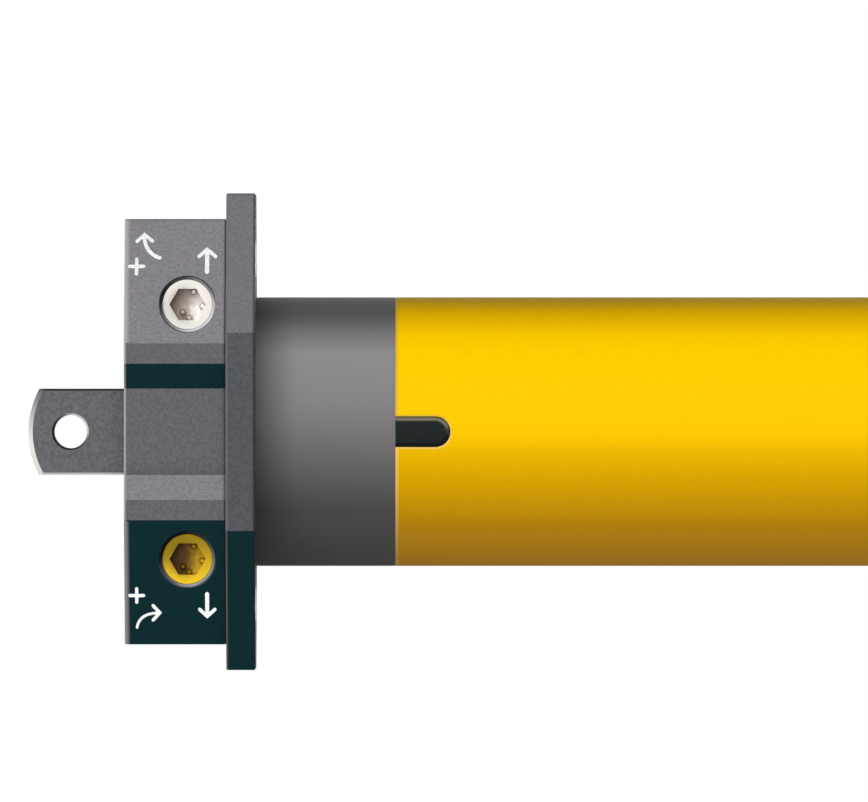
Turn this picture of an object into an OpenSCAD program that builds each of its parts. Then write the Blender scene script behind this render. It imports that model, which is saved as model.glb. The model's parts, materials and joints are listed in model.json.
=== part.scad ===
// Tubular roller blind motor: fixing head, limit drive ring and Ø50 tube with
// the limit switch, motor, brake and three-stage planetary gearbox inside it.
// X is the motor's axis, from the head to the drive end. Z is up.
// The origin is the centre of the locking pin hole in the mounting tongue.

/* [Mounting tongue] */
// Width and height of the square tongue
tongue_w = 16; // [12:0.5:18]
// From the locking pin hole to the tip of the tongue
tongue_tip = 7.8; // [6:0.1:12]
// Radius of the rounded end
tongue_end_r = 17; // [12:0.5:30]
// Chamfer round the rounded end
tongue_chamfer = 0.8; // [0.3:0.1:1.5]
// Diameter of the locking pin hole
pin_hole_d = 6.2; // [4:0.1:8]
// Chamfer at each end of the locking pin hole
pin_hole_chamfer = 0.35; // [0.1:0.05:0.6]
// Thickness of the tongue's base plate inside the head
base_t = 4; // [3:0.1:4.2]
// Diameter of the base plate
base_d = 55; // [50:0.5:56]

/* [Head] */
// From the locking pin hole to the head's end face
head_start = 10.2; // [9:0.1:20]
// Length of the octagonal head
head_len = 18.85; // [18.5:0.05:24]
// Head size across flats
head_af = 79; // [78:0.5:84]
// Thickness of the end wall
head_wall = 4; // [3.5:0.1:4.2]
// Diameter of the cavity
cavity_d = 60; // [59:0.5:61]
// Width of a bracket channel at its floor
channel_w = 16; // [10:0.5:18]
// Depth of a bracket channel
channel_depth = 4.6; // [4.2:0.1:5]
// Chamfer on the head's and the flange's edges
edge_chamfer = 0.2; // [0.1:0.1:0.8]
// Flange size across flats
flange_af = 88.5; // [86:0.5:100]
// Thickness of the flange
flange_t = 5.4; // [4:0.1:8]

/* [Cable socket] */
// Width of the plug opening
socket_w = 13; // [9:0.5:15]
// Height of the plug opening
socket_h = 8; // [6:0.5:8.5]
// Depth of the plug opening
socket_depth = 10; // [8:0.5:11]
// From the motor's axis to the middle of the plug opening
socket_y = 21; // [20.5:0.1:21.5]
// Length of the contact blades
blade_len = 4.5; // [3:0.1:5]

/* [Limit adjusters] */
// Height of each adjuster above or below the motor's axis
adjuster_z = 23.6; // [23:0.1:24]
// From the head's end face to the adjusters' axes
adjuster_from_face = 11.7; // [11.4:0.1:12]
// From the motor's axis to the adjuster's front face
adjuster_reach = 27.5; // [27:0.1:29]
// Diameter of the adjuster's head
adjuster_d = 9.2; // [8:0.1:9.6]
// Length of the adjuster's head
adjuster_head_len = 5.5; // [5:0.1:6]
// Hexagon socket, across flats
hex_af = 5.8; // [4:0.1:6.2]
// Depth of the hexagon socket
hex_depth = 4.5; // [3:0.1:4.6]
// Diameter of the pocket round the adjuster
pocket_d = 10.4; // [10:0.1:10.8]
// Diameter of the adjuster's shank
shank_d = 6; // [5:0.1:6.2]

/* [Limit drive ring] */
// Outside diameter of the ring
ring_d = 50; // [50:0.5:53]
// Length of the ring
ring_len = 25.7; // [24:0.1:34]
// Gap at each end of the ring
ring_gap = 0.15; // [0.1:0.05:0.6]
// Width of the ring's keyway
keyway_w = 6; // [3:0.5:8]
// Depth of the ring's keyway
keyway_depth = 1.2; // [0.5:0.1:1.5]

/* [Neck] */
// Outside diameter of the neck that the ring turns on
neck_d = 40; // [38:0.2:40.6]
// Bore of the neck
neck_bore = 32; // [31.6:0.1:33]
// Length of the spigot inside the tube
spigot_len = 15.6; // [13:0.1:16]
// Thickness of the clamp plate behind the flange
clamp_t = 3; // [2:0.1:3.4]
// Diameter of the clamp plate
clamp_d = 44; // [42:0.5:46]

/* [Tube] */
// Outside diameter of the tube
tube_d = 50; // [49.5:0.1:50.5]
// Wall thickness of the tube
tube_wall = 1; // [0.8:0.05:1.2]
// Length of the tube
tube_len = 345; // [345:1:400]
// Length of the key slot at the tube's front end
slot_len = 10.2; // [8:0.1:11]
// Width of the key slot
slot_w = 5.7; // [4:0.1:8]
// Diameter of the rivets
rivet_d = 3.2; // [2.4:0.1:3.6]

/* [Limit switch] */
// Tooth module of the ring and its pinions
ring_module = 0.8; // [0.78:0.01:0.82]
// Width of each pinion
pinion_w = 5; // [4:0.1:5.4]
// Diameter of the travelling nuts' spindles and of the adjusting screws
spindle_d = 4; // [3:0.1:4.2]
// How far a nut travels each way from the middle
nut_travel = 14; // [10:0.5:14.5]
// Length of a travelling nut
nut_len = 8; // [6:0.5:9]
// How far a switch carriage moves each way
carriage_travel = 3; // [2:0.1:3.2]
// Length of a switch carriage
carriage_len = 8; // [6:0.5:10]
// Length of a microswitch
switch_len = 11; // [10:0.5:12]

/* [Motor and brake] */
// Diameter of the capacitor
capacitor_d = 30; // [25:0.5:36]
// Length of the capacitor
capacitor_len = 48; // [40:1:49]
// Bore of the stator
stator_bore = 26.4; // [24:0.1:28]
// Air gap between the rotor and the stator
air_gap = 0.35; // [0.3:0.05:0.5]
// Length of each end winding
winding_len = 9; // [6:0.5:10]
// Diameter of the motor's shaft
shaft_d = 8; // [6:0.1:9]
// Thickness of the bearing shields
shield_t = 8; // [6:0.5:9]
// Length of the brake's magnet
magnet_len = 14; // [10:0.5:15]
// How far the brake's armature lifts
brake_lift = 0.3; // [0.2:0.05:0.4]

/* [Planetary gearbox] */
// Thinnest wall of the toothed ring, whose teeth fill the rest of the tube's bore
annulus_wall = 2.5; // [1.5:0.1:3.5]
// Width of the first stage's planets
planet_w1 = 8; // [6:0.5:9]
// Width of the second stage's planets
planet_w2 = 11; // [8:0.5:12]
// Width of the third stage's planets
planet_w3 = 15; // [10:0.5:16]
// Thickness of the carriers' plates
carrier_t = 4; // [3:0.1:5]
// Free length between the gearbox and the end cap
gearbox_gap = 12.2; // [2:0.1:20]
// Diameter of the planets' pins
planet_pin_d = 4.4; // [3:0.1:5]

/* [Output] */
// Diameter of the output shaft in its bush
output_d = 16; // [12:0.5:18]
// Size of the output hexagon across flats
output_af = 13; // [10:0.5:14]
// Length of the output hexagon
output_len = 19; // [17:0.5:24]
// Core diameter of the tapped hole in the output shaft
tapped_d = 5; // [3.3:0.1:5]
// Depth of the tapped hole
tapped_depth = 15; // [8:0.5:16]
// Thickness of the end cap's rim
cap_rim = 3; // [2:0.5:5]

/* [Hidden] */
$fn = 64;
fit = 0.08;
seat = 0.05;
slack = 0.3;
over = 1;
pressure_angle = 25;
flank_steps = 3;
tooth_play = 0.08;

head_end = head_start + head_len;
wall_in = head_start + head_wall;
flange_end = head_end + flange_t;
ring_start = flange_end + ring_gap;
ring_end = ring_start + ring_len;
tube_start = ring_end + ring_gap;
tube_end = tube_start + tube_len;
spigot_end = tube_start + spigot_len;
tube_in_r = tube_d / 2 - tube_wall;
inner_r = tube_in_r - slack;

screw_r = 2;
base_screw_at = 15;
flange_screw_r = 1.75;
flange_screw_len = 10;
flange_screw_y = 13.3;
flange_screw_z = 32.1;
clamp_screw_r = 1.25;
clamp_screw_at = (neck_d + neck_bore) / 4;
clamp_screw_len = 10;
rivet_grip = 3.5;
rivet_edge = 3;
cap_rivet_edge = 6;
front_rivets = [-60:60:60];
rear_rivets = [45:90:315];

adjuster_x = head_start + adjuster_from_face;
adjuster_back = adjuster_reach - adjuster_head_len;
boss_r = shank_d / 2 + 1.5;
worm_r = 3.1;
worm_wave = 0.6;
worm_len = 8;
worm_sides = 16;
wheel_teeth = 20;
wheel_module = 0.85;
wheel_r = wheel_teeth * wheel_module / 2;
wheel_w = 2.4;
wheel_play = 0.55;
screw_z = adjuster_z - worm_r - wheel_r;
tail_r = 2;
bearing_y = 8;
bearing_t = 4;

ring_teeth = 54;
pinion_teeth = 27;
pinion_r = pinion_teeth * ring_module / 2;
spindle_y = (ring_teeth - pinion_teeth) * ring_module / 2;
gear_start = ring_start + 4;
gear_len = 2 * pinion_w + 4;
pinion_a_x = gear_start + over;
pinion_b_x = pinion_a_x + pinion_w + 2;

plate_t = 3;
neck_plate_r = neck_bore / 2 - slack;
front_plate_x = flange_end;
mid_plate_x = gear_start + gear_len + over;
case_plate_x = spigot_end + 0.6;
switch_zone = 2 * carriage_travel + switch_len + 1.6;
nut_zone = 2 * (nut_travel + nut_len / 2);
nut_x = case_plate_x + plate_t + switch_zone + nut_zone / 2 - 1.2;
back_plate_x = 2 * nut_x - case_plate_x - plate_t;
carriage_x = case_plate_x + plate_t + carriage_travel + 0.9;
finger_t = 4;
post_r = 1.5;
rail_half = 1.3;
rail_y = inner_r - 2.2;
switch_z = screw_z + 3.5;
switch_h = 4;
beam_w = 8;
beam_in = switch_z + switch_h + slack;
beam_out = sqrt(pow(inner_r - 0.4, 2) - pow(beam_w / 2, 2));
post_y = 5.5;
nut_w = 9.6;
nut_h = 10;
carriage_w = 12;
adjuster_tail = bearing_y + bearing_t + 1.5;

armature_t = 3.5;
disc_t = 3;
gearbox_wall = 3.4;
cap_seat = 14;
cap_x = tube_end - cap_seat;
cap_end = tube_end + cap_rim;
stage_gap = 0.6;
gearbox_end = cap_x - gearbox_gap;
gearbox_x = gearbox_end - gearbox_wall - planet_w1 - planet_w2 - planet_w3 - 3 * carrier_t - 8 * stage_gap;
brake_start = gearbox_x - magnet_len - brake_lift - armature_t - disc_t - 2 * slack - 0.2;

holder_start = back_plate_x + plate_t + 1;
holder_len = capacitor_len + 4;
shield_a_x = holder_start + holder_len + 1;
stator_x = shield_a_x + shield_t + winding_len + 1;
stator_end = brake_start - shield_t - winding_len - 1;
stator_len = stator_end - stator_x;
shield_b_x = stator_end + winding_len + 1;
magnet_x = brake_start + slack;
armature_x = magnet_x + magnet_len + brake_lift + 0.1;
disc_x = armature_x + armature_t + 0.1;
spring_len = 7;
brake_pin_r = 1.5;
brake_pin_at = inner_r - brake_pin_r - 1.7;
rotor_r = stator_bore / 2 - air_gap;
slots = 12;
slot_at = stator_bore / 2 + 4.4;
slot_r = 2.3;
bearing_r = shaft_d / 2 + 3;
spring_r = shaft_d / 2 + 4;
boss_len = 6;
winding_in = slot_at - slot_r - 0.6;
winding_depth = 6.4;
winding_round = 1.6;
holder_ring = 8;
holder_window = 22;

sun_teeth = 12;
planet_teeth = 21;
annulus_teeth = sun_teeth + 2 * planet_teeth;
gear_module = (inner_r - annulus_wall) / (annulus_teeth / 2 + 1.25);
sun_r = sun_teeth * gear_module / 2;
planet_r = planet_teeth * gear_module / 2;
annulus_r = annulus_teeth * gear_module / 2;
planet_at = sun_r + planet_r;
sun_bore_r = 2.2;
thirds = [0, 120, 240];
carrier_r = annulus_r - 1.6 * gear_module;
planet_w = [planet_w1, planet_w2, planet_w3];
stage_1_x = gearbox_x + gearbox_wall + stage_gap;
stage_2_x = stage_1_x + planet_w1 + carrier_t + 2 * stage_gap;
stage_3_x = stage_2_x + planet_w2 + carrier_t + 2 * stage_gap;
stage_x = [stage_1_x, stage_2_x, stage_3_x];

clip_t = 1.2;
clip_x = cap_end + slack;
shoulder_end = clip_x + clip_t + 1.2;
output_end = shoulder_end + output_len;

// Turns a shape drawn in Y and Z, and raised along Z, to lie along the motor's axis
module along_x(x = 0, y = 0, z = 0) {
    translate([x, y, z]) rotate([90, 0, 90]) children();
}

module rod(x, len, r, y = 0, z = 0) {
    along_x(x, y, z) cylinder(r = r, h = len);
}

// A round bar along Y, from y
module cross_rod(y, len, r, x, z) {
    translate([x, y, z]) rotate([-90, 0, 0]) cylinder(r = r, h = len);
}

module bar(x0, x1, y0, y1, z0, z1) {
    translate([x0, y0, z0]) cube([x1 - x0, y1 - y0, z1 - z0]);
}

// The same solid after half a turn about Y through the middle of the nuts' travel
module other_end() {
    translate([nut_x, 0, 0]) rotate([0, 180, 0]) translate([-nut_x, 0, 0]) children();
}

module corners(y, z = undef) {
    for (sy = [-1, 1], sz = [-1, 1]) translate([0, sy * y, sz * (is_undef(z) ? y : z)]) children();
}

module octagon(x, len, af) {
    along_x(x) rotate([0, 0, 22.5]) cylinder(r = af / 2 / cos(22.5), h = len, $fn = 8);
}

// An octagonal block with 45 degree chamfers along the edges of both faces
module chamfered_octagon(x, len, af) hull() {
    octagon(x, len, af - 2 * edge_chamfer);
    octagon(x + edge_chamfer, len - 2 * edge_chamfer, af);
}

// Angle from the start of an involute to its point at radius r, in degrees
function involute_angle(base_r, r) =
    r <= base_r ? 0 : let(a = acos(base_r / r)) tan(a) * 180 / PI - a;

function flank_radii(base_r, root_r, tip_r) =
    let(start = max(base_r, root_r))
    concat(base_r > root_r ? [root_r] : [],
           [for (i = [0:flank_steps]) start + (tip_r - start) * i / flank_steps]);

// Outline of a spur gear with a tooth on the first axis; play thins each tooth
function gear_points(teeth, size, root_r, tip_r, play) =
    let(pitch_r = teeth * size / 2,
        base_r = pitch_r * cos(pressure_angle),
        half = 90 / teeth - play / pitch_r * 90 / PI + involute_angle(base_r, pitch_r),
        radii = flank_radii(base_r, root_r, tip_r),
        last = len(radii) - 1)
    [for (t = [0:teeth - 1], k = [0:2 * last + 1])
        let(r = radii[k <= last ? k : 2 * last + 1 - k],
            side = k <= last ? -1 : 1,
            a = t * 360 / teeth + side * (half - involute_angle(base_r, r)))
        [r * cos(a), r * sin(a)]];

module gear(teeth, size, width, play = tooth_play) {
    r = teeth * size / 2;
    linear_extrude(width) polygon(gear_points(teeth, size, r - 1.25 * size, r + size, play));
}

// The space inside a toothed ring
module gear_hole(teeth, size, width) {
    r = teeth * size / 2;
    linear_extrude(width)
        polygon(gear_points(teeth, size, r - 0.9 * size, r + 1.25 * size, -tooth_play));
}

module hexagon(af, h) {
    cylinder(r = af / sqrt(3), h = h, $fn = 6);
}

module countersunk_screw(r, len, x) {
    rod(x, len, r);
    along_x(x) cylinder(r1 = 2 * r, r2 = r, h = r);
}

module mounting_tongue() color([0.40, 0.41, 0.43]) {
    half = tongue_w / 2;
    c = tongue_chamfer;
    end_x = tongue_end_r - tongue_tip;
    edge = 0.4;
    difference() {
        intersection() {
            along_x(-tongue_tip) linear_extrude(tongue_tip + wall_in + over) polygon([
                [-half, -half + edge], [-half + edge, -half], [half - edge, -half], [half, -half + edge],
                [half, half - edge], [half - edge, half], [-half + edge, half], [-half, half - edge]]);
            union() {
                translate([end_x, 0, 0]) rotate([90, 0, 0]) rotate_extrude($fn = 128) polygon([
                    [0, -half], [tongue_end_r - c, -half], [tongue_end_r, c - half],
                    [tongue_end_r, half - c], [tongue_end_r - c, half], [0, half]]);
                bar(end_x, wall_in + over, -half, half, -half, half);
            }
        }
        cross_rod(-half - over, tongue_w + 2 * over, pin_hole_d / 2, 0, 0);
        for (s = [0, 180]) rotate([0, 0, s]) translate([0, half + 0.01, 0]) rotate([90, 0, 0])
            cylinder(r1 = pin_hole_d / 2 + pin_hole_chamfer, r2 = pin_hole_d / 2, h = pin_hole_chamfer);
    }
    difference() {
        union() {
            rod(wall_in, base_t, base_d / 2);
            for (s = [-1, 1]) bar(wall_in, adjuster_x + tail_r + 2, bearing_y, bearing_y + bearing_t,
                s > 0 ? adjuster_z - 4 : -adjuster_z - 3, s > 0 ? adjuster_z + 3 : -adjuster_z + 4);
        }
        for (s = [-1, 1])
            cross_rod(bearing_y - over, bearing_t + 2 * over, tail_r + fit, adjuster_x, s * adjuster_z);
        corners(base_screw_at) rod(wall_in - over, base_t + 2 * over, screw_r + seat);
        bar(wall_in - over, wall_in + base_t + over, socket_y - socket_h / 2 - 2, base_d,
            -socket_w / 2 - 2, socket_w / 2 + 2);
    }
}

module channel() {
    floor_z = head_af / 2 - channel_depth;
    top_z = head_af / 2 + over;
    half = channel_w / 2;
    along_x(head_start - over) linear_extrude(head_len + 2 * over)
        polygon([[-half, floor_z], [half, floor_z],
                 [half + top_z - floor_z, top_z], [-half - top_z + floor_z, top_z]]);
}

module adjuster_seat(z) {
    bore_r = shank_d / 2 + fit;
    cross_rod(-head_af, head_af - adjuster_back, pocket_d / 2, adjuster_x, z);
    cross_rod(-adjuster_back - over, adjuster_back, bore_r, adjuster_x, z);
}

module head_housing() color([0.50, 0.50, 0.52]) difference() {
    union() {
        difference() {
            chamfered_octagon(head_start, head_len, head_af);
            for (a = [0:90:270]) rotate([a, 0, 0]) channel();
            rod(wall_in, head_len, cavity_d / 2);
        }
        for (s = [-1, 1]) {
            cross_rod(-adjuster_back - 2, boss_len, boss_r, adjuster_x, s * adjuster_z);
            intersection() {
                cross_rod(-adjuster_back - 4, boss_len - 0.5, pocket_d / 2 + 1, adjuster_x, s * adjuster_z);
                rod(wall_in, head_len - head_wall, cavity_d / 2 + over);
            }
        }
    }
    for (s = [-1, 1]) adjuster_seat(s * adjuster_z);
    bar(head_start - over, wall_in + over, -tongue_w / 2 - seat, tongue_w / 2 + seat,
        -tongue_w / 2 - seat, tongue_w / 2 + seat);
    corners(base_screw_at) {
        rod(head_start - over, head_wall + 2 * over, screw_r + 0.1);
        along_x(head_start) cylinder(r1 = 2 * screw_r + 0.2, r2 = screw_r + 0.1, h = screw_r + 0.1);
    }
    corners(flange_screw_y, flange_screw_z)
        rod(flange_end - flange_screw_len - seat, flange_screw_len, flange_screw_r + seat);
    bar(head_start - over, wall_in + over, socket_y - socket_h / 2 - 1.5 - seat,
        socket_y + socket_h / 2 + 1.5 + seat, -socket_w / 2 - 1.5 - seat, socket_w / 2 + 1.5 + seat);
}

module flange_plate() color([0.44, 0.43, 0.46]) difference() {
    chamfered_octagon(head_end, flange_t, flange_af);
    rod(head_end - over, flange_t + 2 * over, neck_d / 2 + seat);
    corners(flange_screw_y, flange_screw_z) {
        rod(head_end - over, flange_t + 2 * over, flange_screw_r + 0.1);
        mirror([1, 0, 0]) translate([-flange_end, 0, 0]) along_x()
            cylinder(r1 = 2 * flange_screw_r + 0.1, r2 = flange_screw_r, h = flange_screw_r + 0.1);
    }
}

module base_screws() color("silver") corners(base_screw_at) difference() {
    countersunk_screw(screw_r, head_wall + base_t, head_start);
    along_x(head_start - 0.01) hexagon(2.5, 1.6);
}

module flange_screws() color("silver") corners(flange_screw_y, flange_screw_z)
    mirror([1, 0, 0]) translate([-flange_end, 0, 0]) difference() {
        countersunk_screw(flange_screw_r, flange_screw_len, 0);
        along_x(-0.01) hexagon(2.2, 1.4);
    }

module cable_socket() color([0.10, 0.10, 0.11]) difference() {
    wall = 1.5;
    bar(head_start, head_start + socket_depth + wall, socket_y - socket_h / 2 - wall,
        socket_y + socket_h / 2 + wall, -socket_w / 2 - wall, socket_w / 2 + wall);
    bar(head_start - over, head_start + socket_depth, socket_y - socket_h / 2,
        socket_y + socket_h / 2, -socket_w / 2, socket_w / 2);
}

// Four contact blades that stand on the floor of the cable socket
module socket_contacts() color("goldenrod") {
    floor_x = head_start + socket_depth;
    for (i = [-1.5:1.5]) bar(floor_x - blade_len, floor_x, socket_y - 1.2, socket_y + 1.2,
        i * socket_w / 4.4 - 0.4, i * socket_w / 4.4 + 0.4);
}

// The worm's single thread is a circle that runs round the axis off centre
module worm() {
    lead = PI * wheel_module;
    twist = 360 * worm_len / lead;
    rotate([0, 0, twist / 2 - 90])
        linear_extrude(worm_len, center = true, twist = twist, slices = round(twist / 30),
                       segments = worm_sides)
            translate([worm_wave, 0]) circle(r = worm_r, $fn = worm_sides);
}

// side is 1 for the upper adjuster, -1 for the lower
module adjuster(side) {
    half = worm_len / 2;
    difference() {
        union() {
            cross_rod(-adjuster_reach, adjuster_head_len - fit, adjuster_d / 2,
                adjuster_x, side * adjuster_z);
            cross_rod(-adjuster_back - over, adjuster_back + over - half - 1.5, shank_d / 2,
                adjuster_x, side * adjuster_z);
            cross_rod(-half - 2, 2.5, worm_r - worm_wave, adjuster_x, side * adjuster_z);
            cross_rod(half - 0.5, adjuster_tail - half, tail_r, adjuster_x, side * adjuster_z);
            translate([adjuster_x, 0, side * adjuster_z]) rotate([-90, side < 0 ? 180 : 0, 0]) worm();
        }
        translate([adjuster_x, -adjuster_reach - 0.01, side * adjuster_z])
            rotate([-90, 0, 0]) hexagon(hex_af, hex_depth);
    }
}

module adjuster_white() color([0.93, 0.93, 0.92]) adjuster(1);

module adjuster_yellow() color([0.98, 0.80, 0.05]) adjuster(-1);

// Round the neck, the ring turns; through its two windows the pinions reach the ring's teeth
module neck() color([0.14, 0.16, 0.17]) difference() {
    union() {
        rod(head_end, tube_start - head_end + over, neck_d / 2);
        rod(tube_start, spigot_len, tube_in_r - 0.1);
        intersection() {
            rod(tube_start, spigot_len, tube_d / 2 - 0.3);
            hull() {
                bar(tube_start, tube_start + 2, -tube_d / 2, -neck_d / 2,
                    0.2 - slot_w / 2, slot_w / 2 - 0.2);
                cross_rod(-tube_d / 2, (tube_d - neck_d) / 2, slot_w / 2 - 0.2,
                    tube_start + slot_len - slot_w / 2, 0, $fn = 32);
            }
        }
    }
    rod(head_end - over, spigot_end - head_end + 2 * over, neck_bore / 2);
    for (s = [-1, 1])
        rod(gear_start + slack, gear_len - 2 * slack, pinion_r + ring_module + 0.6, s * spindle_y);
    for (a = [45:90:315]) rotate([a, 0, 0])
        rod(head_end - over, clamp_screw_len - clamp_t + over, clamp_screw_r + seat, clamp_screw_at);
    for (a = front_rivets) rotate([a, 0, 0])
        cross_rod(tube_in_r - rivet_grip - seat, tube_d, rivet_d / 2 + seat, spigot_end - rivet_edge, 0);
}

module clamp_plate() color("silver") difference() {
    rod(head_end - clamp_t, clamp_t, clamp_d / 2);
    rod(head_end - clamp_t - over, clamp_t + 2 * over, neck_bore / 2);
    for (a = [45:90:315]) rotate([a, 0, 0])
        rod(head_end - clamp_t - over, clamp_t + 2 * over, clamp_screw_r + seat, clamp_screw_at);
}

module clamp_screws() color([0.35, 0.35, 0.37]) for (a = [45:90:315]) rotate([a, 0, 0])
    translate([0, clamp_screw_at, 0]) difference() {
        union() {
            rod(head_end - clamp_t, clamp_screw_len - seat, clamp_screw_r);
            rod(head_end - clamp_t - 2, 2, 2 * clamp_screw_r);
        }
        rod(head_end - clamp_t - 2 - over, over + 1.3, clamp_screw_r);
    }

module limit_ring() color([0.54, 0.54, 0.54]) difference() {
    rod(ring_start, ring_len, ring_d / 2);
    rod(ring_start - over, ring_len + 2 * over, neck_d / 2 + fit);
    along_x(gear_start) gear_hole(ring_teeth, ring_module, gear_len);
    bar(ring_start - over, ring_end + over, ring_d / 2 - keyway_depth, ring_d,
        -keyway_w / 2, keyway_w / 2);
    for (x = [ring_start, ring_end]) along_x(x) rotate_extrude(convexity = 4)
        translate([ring_d / 2, 0]) circle(r = 0.4, $fn = 4);
}

module casing() color([1.0, 0.80, 0.0]) difference() {
    rod(tube_start, tube_len, tube_d / 2);
    rod(tube_start - over, tube_len + 2 * over, tube_in_r);
    bar(tube_start - over, tube_start + slot_len - slot_w / 2, -tube_d, 0, -slot_w / 2, slot_w / 2);
    cross_rod(-tube_d, tube_d, slot_w / 2, tube_start + slot_len - slot_w / 2, 0);
    for (a = front_rivets) rotate([a, 0, 0])
        cross_rod(0, tube_d, rivet_d / 2 + seat, spigot_end - rivet_edge, 0);
    for (a = rear_rivets) rotate([a, 0, 0])
        cross_rod(0, tube_d, rivet_d / 2 + seat, tube_end - cap_rivet_edge, 0);
}

// Flush rivets, which stop a little under the tube's surface
module rivet(x, angle) {
    rotate([angle, 0, 0]) intersection() {
        cross_rod(tube_in_r - rivet_grip, tube_wall + rivet_grip, rivet_d / 2, x, 0);
        rod(x - rivet_d, 2 * rivet_d, tube_d / 2 - seat);
    }
}

module casing_rivets() color("silver") {
    for (a = front_rivets) rivet(spigot_end - rivet_edge, a);
    for (a = rear_rivets) rivet(tube_end - cap_rivet_edge, a);
}

module switch_chassis() color([0.20, 0.22, 0.24]) difference() {
    union() {
        rod(front_plate_x, plate_t, neck_plate_r);
        rod(mid_plate_x, plate_t, neck_plate_r);
        rod(case_plate_x, plate_t, inner_r);
        rod(back_plate_x, plate_t, inner_r);
        corners(post_y, screw_z + 1)
            rod(front_plate_x + over, case_plate_x - front_plate_x, post_r);
        for (s = [-1, 1]) {
            bar(case_plate_x + over, back_plate_x + over, s * rail_y - 2, s * rail_y + 0.5,
                -rail_half - 1, rail_half + 1);
            bar(case_plate_x + over, back_plate_x + over, s * (rail_y - 2) - 2, s * (rail_y - 2) + 2,
                -rail_half, rail_half);
            bar(case_plate_x + over, back_plate_x + over, -beam_w / 2, beam_w / 2,
                s > 0 ? beam_in : -beam_out, s > 0 ? beam_out : -beam_in);
        }
    }
    for (s = [-1, 1]) {
        rod(front_plate_x - over, back_plate_x, spindle_d / 2 + fit, s * spindle_y);
        rod(front_plate_x - over, back_plate_x, spindle_d / 2 + fit, 0, s * screw_z);
    }
}

// A spindle turned by the drive ring: its pinion meshes with the ring's inside teeth
module spindle(y, pinion_x) {
    rod(front_plate_x + slack, back_plate_x + plate_t - front_plate_x - 2 * slack, spindle_d / 2, y);
    along_x(pinion_x, y) rotate([0, 0, y < 0 ? 180 : 0])
        gear(pinion_teeth, ring_module, pinion_w);
}

module spindle_a() color("silver") spindle(-spindle_y, pinion_a_x);

module spindle_b() color("silver") spindle(spindle_y, pinion_b_x);

// A nut with a fork on its rail and a finger that reaches over to the microswitch's plunger
module travel_nut() {
    x0 = nut_x - nut_len / 2;
    difference() {
        union() {
            bar(x0, x0 + nut_len, -spindle_y - nut_w / 2, -spindle_y + nut_w / 2, -nut_h / 2, nut_h / 2);
            bar(x0, x0 + nut_len, -rail_y + 2.8, -spindle_y - 4, -4, 4);
            bar(nut_x - finger_t / 2, nut_x + finger_t / 2, -spindle_y - 1.2, -spindle_y + 2.8,
                nut_h / 2 - over, switch_z + switch_h - slack);
            bar(nut_x - finger_t / 2, nut_x + finger_t / 2, -spindle_y - 1.2, 1.5,
                switch_z + slack, switch_z + switch_h - slack);
        }
        rod(x0 - over, nut_len + 2 * over, spindle_d / 2 + fit, -spindle_y);
        bar(x0 - over, x0 + nut_len + over, -rail_y, -rail_y + 4.4, -rail_half - slack, rail_half + slack);
    }
}

module travel_nut_a() color("gold") travel_nut();

module travel_nut_b() color("gold") rotate([180, 0, 0]) travel_nut();

// Worm wheel and adjusting screw in one, turned by an adjuster's worm
module adjusting_screw(z, end_x) {
    rod(adjuster_x - wheel_w / 2 - 1.5, end_x - adjuster_x + wheel_w / 2 + 1.5, spindle_d / 2, 0, z);
    along_x(adjuster_x - wheel_w / 2, 0, z) linear_extrude(wheel_w)
        polygon(gear_points(wheel_teeth, wheel_module, wheel_r - 1, wheel_r + 0.45, wheel_play));
}

module adjusting_screw_a() color("silver")
    adjusting_screw(screw_z, carriage_x + carriage_len + carriage_travel + 4);

module adjusting_screw_b() color("silver")
    adjusting_screw(-screw_z, back_plate_x + plate_t - slack);

module switch_carriage() {
    difference() {
        bar(carriage_x, carriage_x + carriage_len, -carriage_w / 2, carriage_w / 2,
            2 * screw_z - switch_z, switch_z);
        rod(carriage_x - over, carriage_len + 2 * over, spindle_d / 2 + fit, 0, screw_z);
    }
}

module switch_carriage_a() color([0.85, 0.85, 0.85]) switch_carriage();

module switch_carriage_b() color([0.95, 0.80, 0.2]) other_end() switch_carriage();

module microswitch() {
    difference() {
        bar(carriage_x, carriage_x + switch_len, -2.9, 2.9, switch_z, switch_z + switch_h);
        rod(carriage_x + switch_len - 3.5, 3.5 + over, 0.9 + fit, 0, switch_z + switch_h / 2);
    }
    for (s = [-1, 1]) bar(carriage_x + 1, carriage_x + 1.6, s * 4 - 1.2, s * 4 + 1.2,
        switch_z, switch_z + 2.5);
}

module microswitch_a() color([0.12, 0.12, 0.12]) microswitch();

module microswitch_b() color([0.12, 0.12, 0.12]) other_end() microswitch();

module switch_plunger() {
    rod(carriage_x + switch_len - 2.6, 3.8, 0.9, 0, switch_z + switch_h / 2);
}

module switch_plunger_a() color("red") switch_plunger();

module switch_plunger_b() color("red") other_end() switch_plunger();

module capacitor() color([0.90, 0.90, 0.88]) {
    x = holder_start + 2;
    r = capacitor_d / 2;
    along_x(x) rotate_extrude() polygon([[0, 0], [r - 1.5, 0], [r, 1.5],
        [r, capacitor_len - 1.5], [r - 1.5, capacitor_len], [0, capacitor_len]]);
    for (s = [-1, 1])
        bar(x + capacitor_len - over, x + capacitor_len + 1.8, s * 5 - 2, s * 5 + 2, -0.4, 0.4);
}

// A ring at each end joined by three ribs that hold the capacitor
module capacitor_holder() color([0.25, 0.26, 0.28]) difference() {
    rod(holder_start, holder_len, inner_r);
    rod(holder_start - over, holder_len + 2 * over, capacitor_d / 2 + fit);
    for (a = thirds) rotate([a, 0, 0]) bar(holder_start + holder_ring,
        holder_start + holder_len - holder_ring, -holder_window / 2, holder_window / 2, 0, tube_d);
}

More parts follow.
